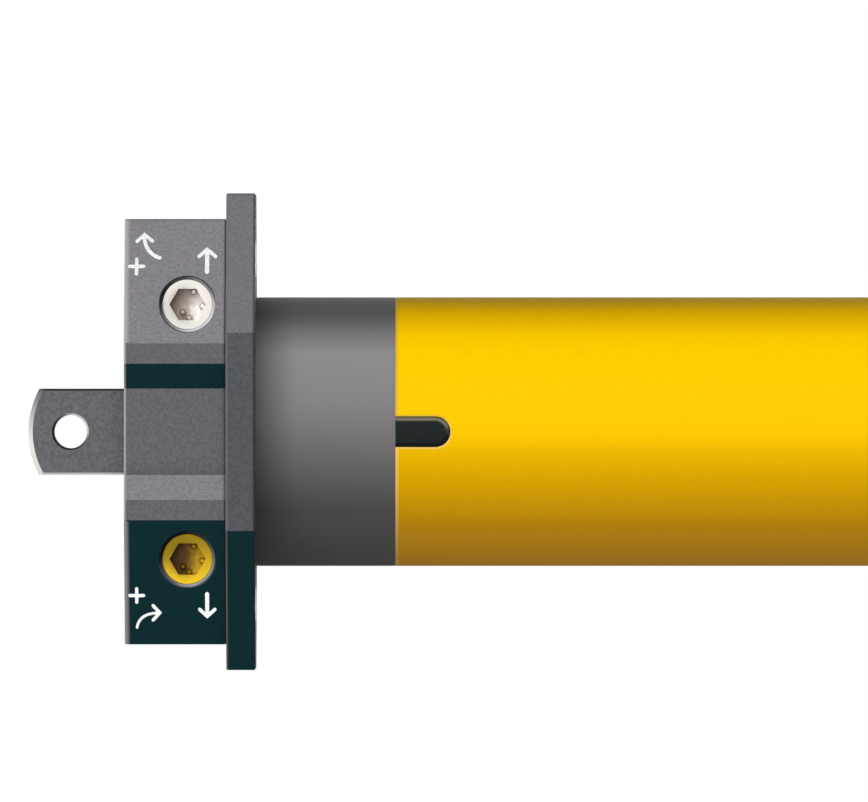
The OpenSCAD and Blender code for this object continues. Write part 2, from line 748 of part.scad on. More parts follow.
module shield(x, inward) difference() {
    hub = bearing_r + 3;
    rod(x, shield_t, inner_r);
    rod(x - over, shield_t + 2 * over, shaft_d / 2 + 1);
    rod(inward > 0 ? x + 2 : x - over, shield_t - 2 + over, bearing_r + seat);
    along_x(inward > 0 ? x + 4 : x - over) rotate_extrude()
        translate([hub, 0]) square([inner_r - hub - 2.5, shield_t - 4 + over]);
    for (a = thirds) rotate([a, 0, 0])
        rod(x - over, shield_t + 2 * over, 1.7, 0, (hub + inner_r - 2.5) / 2);
}

module front_shield() color("lightgray") shield(shield_a_x, 1);

module rear_shield() color("lightgray") shield(shield_b_x, -1);

module bush(x, len, outer_r, inner_r) difference() {
    rod(x, len, outer_r);
    rod(x - over, len + 2 * over, inner_r);
}

module motor_bushes() color("darkgoldenrod") {
    bush(shield_a_x + 2, shield_t - 2.5, bearing_r, shaft_d / 2 + fit);
    bush(shield_b_x + 0.5, shield_t - 2.5, bearing_r, shaft_d / 2 + fit);
}

module stator_core() color([0.45, 0.46, 0.48]) along_x(stator_x) linear_extrude(stator_len) difference() {
    circle(r = inner_r, $fn = 96);
    circle(r = stator_bore / 2, $fn = 96);
    for (i = [0:slots - 1]) rotate(i * 360 / slots) {
        translate([slot_at, 0]) circle(r = slot_r, $fn = 24);
        translate([stator_bore / 2 - 0.5, -0.8]) square([3.4, 1.6]);
    }
}

module stator_windings() color([0.72, 0.38, 0.18]) {
    d = winding_depth;
    l = winding_len - seat;
    r = winding_round;
    for (x = [stator_x - winding_len, stator_end + seat]) along_x(x) rotate_extrude()
        translate([winding_in, 0])
            polygon([[r, 0], [d - r, 0], [d, r], [d, l - r], [d - r, l], [r, l], [0, l - r], [0, r]]);
    for (i = [0:slots - 1]) rotate([i * 360 / slots, 0, 0])
        rod(stator_x - over, stator_len + 2 * over, slot_r - 0.15, slot_at);
}

module rotor_core() color([0.60, 0.61, 0.63]) difference() {
    rod(stator_x + over, stator_len - 2 * over, rotor_r);
    rod(stator_x, stator_len, shaft_d / 2 + seat);
    for (x = [stator_x + 4, stator_end - 4]) along_x(x) rotate_extrude()
        translate([rotor_r + 0.4, 0]) circle(r = 0.8, $fn = 4);
}

module motor_shaft() color("silver") {
    rod(shield_a_x + 0.5, gearbox_x + gearbox_wall - shield_a_x - 0.5, shaft_d / 2);
    rod(gearbox_x, stage_1_x + planet_w1 - gearbox_x, sun_bore_r);
}

module brake_magnet() color([0.30, 0.31, 0.33]) {
    difference() {
        rod(magnet_x, magnet_len, inner_r);
        rod(magnet_x - over, magnet_len + 2 * over, shaft_d / 2 + 1.2);
        rod(magnet_x + magnet_len - spring_len, spring_len + over, spring_r + slack);
        along_x(magnet_x + magnet_len - 5) rotate_extrude()
            translate([spring_r + 3, 0]) square([2.5, 5 + over]);
    }
    for (a = thirds) rotate([a, 0, 0]) rod(magnet_x + magnet_len - over,
        disc_x + disc_t - magnet_x - magnet_len + over, brake_pin_r, 0, brake_pin_at);
}

// The release spring's envelope: it stands in the magnet's pocket
module brake_spring() color("silver")
    bush(magnet_x + magnet_len - spring_len, spring_len, spring_r, shaft_d / 2 + 1.6);

module brake_armature() color([0.50, 0.50, 0.52]) difference() {
    rod(armature_x, armature_t, inner_r - 0.4);
    rod(armature_x - over, armature_t + 2 * over, shaft_d / 2 + 1.2);
    for (a = thirds) rotate([a, 0, 0])
        rod(armature_x - over, armature_t + 2 * over, brake_pin_r + 0.2, 0, brake_pin_at);
}

module brake_disc() color([0.35, 0.25, 0.2])
    bush(disc_x, disc_t, brake_pin_at - brake_pin_r - 1, shaft_d / 2 + seat);

module gearbox_housing() color([0.75, 0.76, 0.78]) difference() {
    rod(gearbox_x, gearbox_end - gearbox_x, inner_r);
    rod(gearbox_x - over, gearbox_wall + 2 * over, shaft_d / 2 + 1);
    along_x(gearbox_x + gearbox_wall)
        gear_hole(annulus_teeth, gear_module, gearbox_end - gearbox_x - gearbox_wall + over);
}

module sun_gear() color("silver") difference() {
    along_x(gearbox_x + gearbox_wall + seat)
        gear(sun_teeth, gear_module, planet_w1 + stage_gap - seat);
    rod(gearbox_x, stage_1_x + planet_w1 - gearbox_x + over, sun_bore_r + seat);
}

// A planet meshes at rest with a sun tooth inwards and a gap of the toothed ring outwards
module planet(stage, number) color([0.93, 0.92, 0.88]) rotate([thirds[number], 0, 0])
    translate([stage_x[stage], planet_at, 0]) difference() {
        along_x() gear(planet_teeth, gear_module, planet_w[stage]);
        rod(-over, planet_w[stage] + 2 * over, planet_pin_d / 2 + fit);
        for (x = [0, planet_w[stage]]) along_x(x) rotate_extrude()
            translate([planet_pin_d / 2 + 1, -0.5]) square([1.6, 1]);
    }

// The plate stands behind its three planets, which run on pins
module carrier(stage) {
    plate_x = stage_x[stage] + planet_w[stage] + stage_gap;
    rod(plate_x, carrier_t, carrier_r);
    for (a = thirds) rotate([a, 0, 0])
        rod(stage_x[stage] + seat, plate_x - stage_x[stage] + over, planet_pin_d / 2, planet_at);
}

module carrier_with_sun(stage) {
    plate_x = stage_x[stage] + planet_w[stage] + stage_gap;
    carrier(stage);
    along_x(plate_x + carrier_t - seat)
        gear(sun_teeth, gear_module, stage_gap + planet_w[stage + 1]);
}

module carrier_1() color([0.70, 0.71, 0.73]) carrier_with_sun(0);

module carrier_2() color([0.70, 0.71, 0.73]) carrier_with_sun(1);

module carrier_3() color([0.70, 0.71, 0.73]) difference() {
    carrier(2);
    along_x(stage_3_x + planet_w3) hexagon(output_af + 2 * seat, stage_gap + carrier_t + over);
}

module output_shaft() color("silver") difference() {
    union() {
        along_x(stage_3_x + planet_w3 + stage_gap + seat) hexagon(output_af, 2 * carrier_t);
        rod(gearbox_end + 0.5, shoulder_end - gearbox_end - 0.5, output_d / 2);
        along_x(shoulder_end - over) hexagon(output_af, output_len + over);
    }
    along_x(clip_x - 0.1) difference() {
        cylinder(r = output_d, h = clip_t + 0.2);
        translate([0, 0, -over]) cylinder(r = output_d / 2 - 0.8, h = clip_t + 3 * over);
    }
    rod(output_end - tapped_depth, tapped_depth + over, tapped_d / 2);
}

module end_cap() color([0.16, 0.17, 0.18]) difference() {
    union() {
        rod(cap_x, cap_seat + over, inner_r);
        rod(tube_end, cap_rim, tube_d / 2);
    }
    rod(cap_x - over, cap_seat + cap_rim + 2 * over, output_d / 2 + 2 + seat);
    for (a = rear_rivets) rotate([a, 0, 0])
        cross_rod(tube_in_r - rivet_grip - seat, tube_d, rivet_d / 2 + seat, tube_end - cap_rivet_edge, 0);
}

module output_bush() color("darkgoldenrod")
    bush(cap_x + 0.5, cap_seat + cap_rim - 0.5, output_d / 2 + 2, output_d / 2 + fit);

module output_circlip() color([0.3, 0.3, 0.3]) difference() {
    bush(clip_x, clip_t, output_d / 2 + 2, output_d / 2 - 0.75);
    bar(clip_x - over, clip_x + clip_t + over, -2.5, 2.5, 0, output_d);
}

mounting_tongue();
head_housing();
flange_plate();
base_screws();
flange_screws();
cable_socket();
socket_contacts();
adjuster_white();
adjuster_yellow();
neck();
clamp_plate();
clamp_screws();
limit_ring();
casing();
casing_rivets();
switch_chassis();
spindle_a();
spindle_b();
travel_nut_a();
travel_nut_b();
adjusting_screw_a();
adjusting_screw_b();
switch_carriage_a();
switch_carriage_b();
microswitch_a();
microswitch_b();
switch_plunger_a();
switch_plunger_b();
capacitor();
capacitor_holder();
front_shield();
rear_shield();
motor_bushes();
stator_core();
stator_windings();
rotor_core();
motor_shaft();
brake_magnet();
brake_spring();
brake_armature();
brake_disc();
gearbox_housing();
sun_gear();
planet(0, 0);  // planet_1a
planet(0, 1);  // planet_1b
planet(0, 2);  // planet_1c
planet(1, 0);  // planet_2a
planet(1, 1);  // planet_2b
planet(1, 2);  // planet_2c
planet(2, 0);  // planet_3a
planet(2, 1);  // planet_3b
planet(2, 2);  // planet_3c
carrier_1();
carrier_2();
carrier_3();
output_shaft();
end_cap();
output_bush();
output_circlip();
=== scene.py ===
# Tubular roller blind motor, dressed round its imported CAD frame.
# Metres throughout, in the frame's own axes: X along the motor, Z up, the front at -Y.
import json
import math

import bmesh
import bpy
from mathutils import Matrix, Vector

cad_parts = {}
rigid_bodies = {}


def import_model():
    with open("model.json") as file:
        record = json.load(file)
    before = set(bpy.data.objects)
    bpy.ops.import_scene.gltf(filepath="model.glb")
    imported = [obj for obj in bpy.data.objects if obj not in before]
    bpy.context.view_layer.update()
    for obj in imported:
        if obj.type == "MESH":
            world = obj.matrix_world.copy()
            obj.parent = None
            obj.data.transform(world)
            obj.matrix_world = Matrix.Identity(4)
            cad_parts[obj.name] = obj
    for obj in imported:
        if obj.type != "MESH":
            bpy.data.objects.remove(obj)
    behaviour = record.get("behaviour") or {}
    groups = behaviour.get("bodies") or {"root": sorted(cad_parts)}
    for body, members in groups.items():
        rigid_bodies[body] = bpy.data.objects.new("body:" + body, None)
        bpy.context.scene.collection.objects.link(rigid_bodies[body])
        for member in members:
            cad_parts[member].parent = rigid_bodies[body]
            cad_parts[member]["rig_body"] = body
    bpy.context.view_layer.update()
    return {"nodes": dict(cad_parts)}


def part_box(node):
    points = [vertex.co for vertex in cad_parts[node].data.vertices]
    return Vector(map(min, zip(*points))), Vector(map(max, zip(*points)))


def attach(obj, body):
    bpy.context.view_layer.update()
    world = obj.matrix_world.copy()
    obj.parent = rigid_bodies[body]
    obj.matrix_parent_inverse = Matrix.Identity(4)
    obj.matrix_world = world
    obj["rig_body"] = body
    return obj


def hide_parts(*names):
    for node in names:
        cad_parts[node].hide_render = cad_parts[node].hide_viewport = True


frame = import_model()

# Camera
# A very long lens looks square on at the head with hardly any perspective: the head, the drive
# ring and the first 90 mm of the tube fill the frame, and the rest runs out of it.
MM = 0.001
view_width = 161.6 * MM
view_centre = Vector((67.6 * MM, 0, 5.7 * MM))
camera_data = bpy.data.cameras.new("product_camera")
camera_data.sensor_width = 36
camera_data.lens = 1400
camera = bpy.data.objects.new("product_camera", camera_data)
camera_distance = view_width * camera_data.lens / camera_data.sensor_width
camera.location = view_centre + Vector((0, -camera_distance, 0))
camera.rotation_euler = (math.radians(90), 0, 0)
bpy.context.scene.collection.objects.link(camera)
bpy.context.scene.camera = camera
bpy.context.scene.view_settings.view_transform = "Standard"


# Studio
# Softboxes stand 1.5 m round the motor: two in front, a little to the left, one overhead, one at
# each side and two behind. The floor is a pale sheet well under the motor.
def linear(hex_colour):
    """A colour written as sRGB hex, as linear RGBA."""
    channels = [int(hex_colour[i:i + 2], 16) / 255 for i in (1, 3, 5)]
    return [c / 12.92 if c <= 0.04045 else ((c + 0.055) / 1.055) ** 2.4 for c in channels] + [1]


def add(tree, kind, settings=None, inputs=None):
    """Adds a node and gives it back. Stops are a ramp's places and colours. An input is a value, or
    a socket that feeds it, or a node whose first socket does."""
    node = tree.nodes.new(kind)
    for name, value in (settings or {}).items():
        if name == "stops":
            while len(node.color_ramp.elements) < len(value):
                node.color_ramp.elements.new(0.5)
            for element, (at, colour) in zip(node.color_ramp.elements, value):
                element.position, element.color = at, linear(colour)
        else:
            setattr(node, name, value)
    for name, value in (inputs or {}).items():
        if isinstance(value, bpy.types.Node):
            value = value.outputs[0]
        if isinstance(value, bpy.types.NodeSocket):
            tree.links.new(value, node.inputs[name])
        else:
            node.inputs[name].default_value = value
    return node


def softbox(name, azimuth, elevation, brightness, size, aim=(0.10, 0, 0)):
    """A square lamp aimed at the head. Brightness 1 shows a facing surface in its own colour."""
    distance = 1.5
    a, e = math.radians(azimuth), math.radians(elevation)
    away = Vector((math.sin(a) * math.cos(e), -math.cos(a) * math.cos(e), math.sin(e)))
    data = bpy.data.lights.new(name, "AREA")
    data.energy = brightness * (math.pi * distance) ** 2
    data.size = size
    lamp = bpy.data.objects.new(name, data)
    lamp.location = Vector(aim) + away * distance
    lamp.rotation_euler = away.to_track_quat("Z", "Y").to_euler()
    lamp.visible_camera = False
    bpy.context.scene.collection.objects.link(lamp)
    return lamp


softbox("front_low_softbox", azimuth=-8, elevation=-4, brightness=0.425, size=0.7)
softbox("front_high_softbox", azimuth=-10, elevation=26, brightness=0.71, size=0.7)
softbox("overhead_softbox", azimuth=-20, elevation=62, brightness=0.04, size=0.5)
softbox("left_softbox", azimuth=-88, elevation=5, brightness=0.45, size=0.6)
softbox("right_softbox", azimuth=86, elevation=10, brightness=0.20, size=0.6)
softbox("back_left_softbox", azimuth=-150, elevation=5, brightness=0.35, size=0.8)
softbox("back_right_softbox", azimuth=150, elevation=5, brightness=0.45, size=0.8)

# The room looks white to the camera and in reflections, but throws hardly any light of its own.
world = bpy.data.worlds.new("white_studio")
bpy.context.scene.world = world
world.use_nodes = True
tree = world.node_tree
tree.nodes.clear()
rays = add(tree, "ShaderNodeLightPath")
seen = add(tree, "ShaderNodeMath", {"operation": "MAXIMUM"},
           {0: rays.outputs["Is Camera Ray"], 1: rays.outputs["Is Transmission Ray"]})
seen = add(tree, "ShaderNodeMath", {"operation": "MAXIMUM"},
           {0: seen, 1: rays.outputs["Is Glossy Ray"]})
dim = add(tree, "ShaderNodeBackground", None, {"Color": linear("#F4F6FA"), "Strength": 0.03})
white = add(tree, "ShaderNodeBackground", None, {"Color": (1, 1, 1, 1), "Strength": 1})
shown = add(tree, "ShaderNodeMixShader", None, {0: seen, 1: dim, 2: white})
add(tree, "ShaderNodeOutputWorld", None, {"Surface": shown})

# Matt paper. The camera also sees it glow, but less under the motor, which leaves a faint grey.
floor_z = -80 * MM
grey_reach, white_reach, grey_glow = 0.3, 0.95, 0.74
bpy.ops.mesh.primitive_plane_add(size=2, location=(0.2, 0, floor_z))
floor = bpy.context.object
floor.name = "studio_floor"
pale_sheet = bpy.data.materials.new("pale_studio_sheet")
pale_sheet.use_nodes = True
tree = pale_sheet.node_tree
tree.nodes.clear()
rays = add(tree, "ShaderNodeLightPath")
place = add(tree, "ShaderNodeTexCoord")
out = add(tree, "ShaderNodeVectorMath", {"operation": "LENGTH"}, {0: place.outputs["Object"]})
lift = add(tree, "ShaderNodeMapRange", None, {
    "Value": out.outputs["Value"], "From Min": grey_reach, "From Max": white_reach,
    "To Min": grey_glow, "To Max": 1.0})
matt = add(tree, "ShaderNodeBsdfDiffuse", None, {"Color": linear("#BEBEBC")})
glow = add(tree, "ShaderNodeEmission", None, {"Color": (1, 1, 1, 1), "Strength": lift})
lit = add(tree, "ShaderNodeAddShader", None, {0: matt, 1: glow})
seen = add(tree, "ShaderNodeMixShader", None,
           {0: rays.outputs["Is Camera Ray"], 1: matt, 2: lit})
add(tree, "ShaderNodeOutputMaterial", None, {"Surface": seen})
floor.data.materials.append(pale_sheet)


# Mounting tongue
# A square zinc-aluminium casting, 16 mm a side, with its base plate in one piece. Its skin is
# grainy from the mould, and its chamfers carry a painted highlight where they face left or down,
# and painted shade on the other sides.
nodes = frame["nodes"]


def finish(name, size, roughness, tones=None, metallic=0.0, specular=0.5, relief=0.01):
    """A material with random grain. The grain's size and relief are in mm, and its colour runs
    between the two tones. A pixel of the render is about 0.2 mm, so a grain that is finer than that
    on the real piece is drawn at several tenths of a millimetre, to show."""
    material = bpy.data.materials.new(name)
    material.use_nodes = True
    tree = material.node_tree
    tree.nodes.clear()
    shader = add(tree, "ShaderNodeBsdfPrincipled", None,
                 {"Roughness": roughness, "Metallic": metallic, "Specular IOR Level": specular})
    add(tree, "ShaderNodeOutputMaterial", None, {"Surface": shader})
    place = add(tree, "ShaderNodeTexCoord")
    sizes = size if isinstance(size, tuple) else (size, size, size)
    cells = add(tree, "ShaderNodeVectorMath", {"operation": "MULTIPLY"},
                {0: place.outputs["Object"], 1: [1 / (s * MM) for s in sizes]})
    grain = add(tree, "ShaderNodeTexNoise", None, {"Vector": cells, "Scale": 1, "Detail": 3})
    bump = add(tree, "ShaderNodeBump", None, {"Height": grain, "Distance": relief * MM})
    tree.links.new(bump.outputs[0], shader.inputs["Normal"])
    if tones:
        toned = add(tree, "ShaderNodeValToRGB",
                    {"stops": [(0.35, tones[0]), (0.65, tones[1])]}, {0: grain})
        tree.links.new(toned.outputs[0], shader.inputs["Base Color"])
    return material, tree, shader, place, grain


def coated(material, *names):
    """Puts a finish on CAD nodes as they are."""
    for name in names:
        nodes[name].data.materials.clear()
        nodes[name].data.materials.append(material)


def placed(name, mesh, material, node):
    """A new piece with that material, which rides with a CAD node."""
    mesh.name = name
    mesh.materials.clear()
    mesh.materials.append(material)
    piece = bpy.data.objects.new(name, mesh)
    bpy.context.scene.collection.objects.link(piece)
    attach(piece, nodes[node]["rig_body"])
    return piece


def made_plain(piece):
    """A mesh of an object as its modifiers leave it."""
    return bpy.data.meshes.new_from_object(
        piece.evaluated_get(bpy.context.evaluated_depsgraph_get()))


def dressed(name, material, rounding, angle=30, wide=None, width=0):
    """A CAD node's own shape, shown in its place, with its edges rounded by so many mm where they
    turn by more than the angle. Edges that wide picks are cut back by their own width first."""
    weld, flat, corner, smooth = 0.001 * MM, math.radians(0.5), 0.5, math.radians(28)
    shell = bmesh.new()
    shell.from_mesh(nodes[name].data)
    bmesh.ops.remove_doubles(shell, verts=shell.verts, dist=weld)
    bmesh.ops.dissolve_limit(shell, angle_limit=flat, verts=shell.verts, edges=shell.edges)
    if wide:
        rims = [e for e in shell.edges
                if len(e.link_faces) == 2 and e.calc_face_angle() > corner and wide(e)]
        bmesh.ops.bevel(shell, geom=rims, offset=width * MM, segments=1, affect="EDGES",
                        clamp_overlap=True)
    mesh = bpy.data.meshes.new(name)
    shell.to_mesh(mesh)
    shell.free()
    piece = bpy.data.objects.new(name + "_raw", mesh)
    bpy.context.scene.collection.objects.link(piece)
    bevel = piece.modifiers.new("rounded_edges", "BEVEL")
    bevel.width = rounding * MM
    bevel.segments = 2
    bevel.limit_method = "ANGLE"
    bevel.angle_limit = math.radians(angle)
    bevel.use_clamp_overlap = True
    done = made_plain(piece)
    for polygon in done.polygons:
        polygon.use_smooth = True
    done.set_sharp_from_angle(angle=smooth)
    piece.modifiers.clear()
    piece.data = done
    piece.modifiers.new("weighted_normals", "WEIGHTED_NORMAL").keep_sharp = True
    done = made_plain(piece)
    bpy.data.objects.remove(piece)
    piece = placed(name + "_shell", done, material, name)
    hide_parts(name)
    return piece


# Cast zinc alloy: dull, dark grey and grainy, with a grain of 0.2 mm that is drawn at 0.6 mm. Its
# chamfers have light and shade painted into their colour by the way they face: a painted highlight
# where they face left or down, and painted shade, nearly black, on the other sides.
cast_zinc, tree, shader, place, grain = finish(
    "cast_zinc_alloy", size=0.6, roughness=0.6, metallic=0.2, specular=0.3, relief=0.015)
chamfer_y, chamfer_spread = 0.65, 0.27
faces = add(tree, "ShaderNodeSeparateXYZ", None, {0: place.outputs["Normal"]})
slant = add(tree, "ShaderNodeMath", {"operation": "ADD"},
            {0: faces.outputs["X"], 1: faces.outputs["Z"]})
forward = add(tree, "ShaderNodeMath", {"operation": "ABSOLUTE"}, {0: faces.outputs["Y"]})
chamfer = add(tree, "ShaderNodeMath", {"operation": "COMPARE"},
              {0: forward, 1: chamfer_y, 2: chamfer_spread})
turned = add(tree, "ShaderNodeMath", {"operation": "MULTIPLY_ADD"}, {0: slant, 1: 0.5, 2: 0.5})
skin = add(tree, "ShaderNodeValToRGB", {"stops": [(0.34, "#444448"), (0.66, "#55555B")]},
           {0: grain})
edges = add(tree, "ShaderNodeValToRGB", {"stops": [
    (0.1, "#C4C2BE"), (0.3, "#6E6E70"), (0.45, "#48484C"), (0.75, "#1A1A1D")]}, {0: turned})
tone = add(tree, "ShaderNodeMix", {"data_type": "RGBA"}, {0: chamfer, 6: skin, 7: edges})
tree.links.new(tone.outputs[2], shader.inputs["Base Color"])
head_pieces = [dressed("mounting_tongue", cast_zinc, rounding=0.06)]


# Head housing
# The octagonal moulding that the wall bracket holds, in glass-filled nylon with a fine spark-eroded
# grain. Its facets have light and shade painted into their colour by the way they face: a painted
# light grey on those that face up, and painted shade, a dark green-black, on those that face down.
def grained_nylon_painted_light(name, up, front, under, size, box, edge, highlight_widths):
    """Matt nylon with light and shade painted into its colour: a painted light tone on facets that
    face up, the front tone on those that face forward, and painted shade on those that face down; a
    painted highlight along the left-hand end, stronger where the faces turn up; and painted shade
    round the right-hand end and along the top. The highlight has one width within 16.5 mm of the
    middle and another beyond. The mould's grain is about 0.1 mm, and is drawn five or six times
    coarser so that it shows."""
    material, tree, shader, place, grain = finish(name, size, roughness=0.62, specular=0.04)
    faces = add(tree, "ShaderNodeSeparateXYZ", None, {0: place.outputs["Normal"]})
    at = add(tree, "ShaderNodeSeparateXYZ", None, {0: place.outputs["Object"]})
    tilt = add(tree, "ShaderNodeMath", {"operation": "MULTIPLY_ADD"},
               {0: faces.outputs["Z"], 1: 0.5, 2: 0.5})
    # Painted light and shade by facing: the up tone on facets above, the under tone below.
    painted_facing_tone = add(tree, "ShaderNodeValToRGB", {"stops": [
        (0.30, under), (0.33, front), (0.66, front), (0.70, up)]}, {0: tilt})
    shade = add(tree, "ShaderNodeMapRange", None, {
        "Value": grain, "From Min": 0.35, "From Max": 0.65, "To Min": 0.86, "To Max": 1.14})
    shaded = add(tree, "ShaderNodeVectorMath", {"operation": "SCALE"}, {0: painted_facing_tone, "Scale": shade})

    # A painted highlight along the left-hand end, stronger on faces that turn up.
    outside = add(tree, "ShaderNodeMath", {"operation": "GREATER_THAN"},
                  {0: faces.outputs["X"], 1: -0.9})
    apart = add(tree, "ShaderNodeMath", {"operation": "ABSOLUTE"}, {0: at.outputs["Z"]})
    width = add(tree, "ShaderNodeMapRange", None, {
        "Value": apart, "From Min": 16.4 * MM, "From Max": 16.6 * MM,
        "To Min": highlight_widths[0] * MM, "To Max": highlight_widths[1] * MM})
    inset = add(tree, "ShaderNodeMath", {"operation": "SUBTRACT"},
                {0: at.outputs["X"], 1: box[0].x})
    inset = add(tree, "ShaderNodeMath", {"operation": "DIVIDE"}, {0: inset, 1: width})
    left = add(tree, "ShaderNodeMapRange", None, {
        "Value": inset, "From Min": 1, "From Max": 2.6, "To Min": 1, "To Max": 0})
    painted_edge_highlight = add(tree, "ShaderNodeMath", {"operation": "MULTIPLY"}, {0: left, 1: outside})
    highlight_by_facing = add(tree, "ShaderNodeMapRange", None, {
        "Value": tilt, "From Min": 0.15, "From Max": 0.85, "To Min": 0.68, "To Max": 1.4})
    highlight_tone = add(tree, "ShaderNodeVectorMath", {"operation": "SCALE"},
               {0: linear(edge)[:3], "Scale": highlight_by_facing})
    with_highlight = add(tree, "ShaderNodeMix", {"data_type": "RGBA"}, {0: painted_edge_highlight, 6: shaded, 7: highlight_tone})

    # Painted shade: a dark line round the right-hand end and along the top edge.
    right = add(tree, "ShaderNodeMapRange", None, {
        "Value": at.outputs["X"], "From Min": box[1].x - 0.5 * MM, "From Max": box[1].x - 0.25 * MM,
        "To Min": 0, "To Max": 0.6})
    round_rim = add(tree, "ShaderNodeMath", {"operation": "LESS_THAN"},
                    {0: faces.outputs["X"], 1: 0.9})
    painted_edge_shade = add(tree, "ShaderNodeMath", {"operation": "MULTIPLY"}, {0: right, 1: round_rim})
    top = add(tree, "ShaderNodeMapRange", None, {
        "Value": at.outputs["Z"], "From Min": box[1].z - 0.4 * MM, "From Max": box[1].z - 0.2 * MM,
        "To Min": 0, "To Max": 0.3})
    below_top = add(tree, "ShaderNodeMath", {"operation": "LESS_THAN"},
                    {0: faces.outputs["Z"], 1: 0.9})
    line = add(tree, "ShaderNodeMath", {"operation": "MULTIPLY"}, {0: top, 1: below_top})
    painted_edge_shade = add(tree, "ShaderNodeMath", {"operation": "MAXIMUM"}, {0: painted_edge_shade, 1: line})
    with_edge_shade = add(tree, "ShaderNodeMix", {"data_type": "RGBA"},
                {0: painted_edge_shade, 6: with_highlight.outputs[2], 7: linear("#16181A")})
    tree.links.new(with_edge_shade.outputs[2], shader.inputs["Base Color"])
    return material


head_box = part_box("head_housing")
facet_reach = head_box[1].z * math.sqrt(2)
white_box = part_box("adjuster_white")
adjuster_x = (white_box[0].x + white_box[1].x) / 2
adjuster_z = (white_box[0].z + white_box[1].z) / 2
pocket_radius = 5.2 * MM


def pocket_mouth(edge):
    """Edges where an adjuster's pocket opens on its sloping facet."""
    off_facet, off_circle = 0.02 * MM, 0.03 * MM
    return all(
        abs(abs(v.co.z) - v.co.y - facet_reach) < off_facet and
        abs(math.hypot(v.co.x - adjuster_x, abs(v.co.z) - adjuster_z) - pocket_radius) < off_circle
        for v in edge.verts)


# The edge tone is the painted highlight's colour, and the under tone is painted shade.
head_nylon = grained_nylon_painted_light(
    "grained_head_nylon", up="#868389", front="#57575B", under="#08272B", size=0.6, box=head_box,
    edge="#97918F", highlight_widths=(0.18, 0.4))
head_pieces.append(dressed("head_housing", head_nylon, rounding=0.05, wide=pocket_mouth, width=0.2))

# Flange plate
# The octagonal plate behind the head, moulded in the same nylon with a closer, darker grain, and
# with the same painted light and shade on its facets and edges.
flange_nylon = grained_nylon_painted_light(
    "grained_flange_nylon", up="#747378", front="#494A4F", under="#08272B", size=0.5,
    box=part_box("flange_plate"), edge="#5C5B5E", highlight_widths=(0.18, 0.18))
head_pieces.append(dressed("flange_plate", flange_nylon, rounding=0.05))


# Printed marks
# White pad-printed arrows and plus signs on the head's two sloping front facets, which say which
# way each adjuster turns and which way the blind then runs.
def on_facet(x, z, lift, side):
    """A point of the sloping facet above (side 1) or below (side -1) the front, lifted off it."""
    slope = math.sqrt(0.5)
    return Vector((x, side * z - facet_reach - lift * slope, z + side * lift * slope))


def stroke_outline(points, width):
    """The outline of a line of that width with round ends."""
    half, sharpest, cap_steps = width / 2, 0.35, 8
    left, right = [], []
    for i, p in enumerate(points):
        before = (p - points[i - 1]).normalized() if i else None
        after = (points[i + 1] - p).normalized() if i + 1 < len(points) else None
        along = ((before or after) + (after or before)).normalized()
        side = Vector((-along.y, along.x)) * half / max(sharpest, along.dot(after or before))
        left.append(p + side)
        right.append(p - side)

    def cap(centre, start):
        arm = start - centre
        return [centre + Matrix.Rotation(-math.pi * k / cap_steps, 2) @ arm
                for k in range(1, cap_steps)]

    return left + cap(points[-1], left[-1]) + right[::-1] + cap(points[0], right[0])


def pt(x, z):
    """A point of the facets as the front view shows them, from mm."""
    return Vector((x * MM, z * MM))


def bend(start, middle, end):
    """Points of a smooth bend from start to end that is drawn towards middle."""
    a, b, c = pt(*start), pt(*middle), pt(*end)
    steps = 11
    return [a * (1 - t) ** 2 + b * 2 * t * (1 - t) + c * t * t
            for t in [k / steps for k in range(steps + 1)]]


# Pad-printing ink: a flat white, faintly cloudy where the ink lies thin.
ink = finish("white_pad_print_ink", size=0.6, roughness=0.6, tones=("#E9E9E9", "#FDFDFD"),
             relief=0.002)[0]
upper_marks = [
    ([pt(12.5, 35.3), pt(13.88, 36.57), pt(15.36, 35.36)], 0.62),
    (bend((13.85, 36.2), (14.0, 33.1), (16.75, 32.25)), 0.68),
    ([pt(11.15, 30.65), pt(13.75, 30.65)], 0.64),
    ([pt(12.46, 29.3), pt(12.46, 31.98)], 0.64),
    ([pt(24.02, 32.5), pt(25.53, 33.79), pt(27.08, 32.5)], 0.66),
    ([pt(25.53, 33.5), pt(25.53, 29.65)], 0.80)]
lower_marks = [
    ([pt(11.2, -30.36), pt(13.75, -30.36)], 0.60),
    ([pt(12.48, -29.1), pt(12.48, -31.6)], 0.60),
    (bend((12.5, -36.3), (12.9, -33.7), (16.4, -33.6)), 0.48),
    ([pt(15.5, -32.25), pt(16.73, -33.56), pt(15.5, -34.9)], 0.60),
    ([pt(25.53, -30.1), pt(25.53, -34.0)], 0.74),
    ([pt(24.15, -32.95), pt(25.53, -34.23), pt(26.95, -32.95)], 0.62)]
ink_film, film_step = 0.02 * MM, 0.004 * MM


def as_mesh(name, shape):
    """The mesh of a shape that was built up face by face, with its faces turned outwards."""
    bmesh.ops.recalc_face_normals(shape, faces=shape.faces)
    mesh = bpy.data.meshes.new(name)
    shape.to_mesh(mesh)
    shape.free()
    return mesh


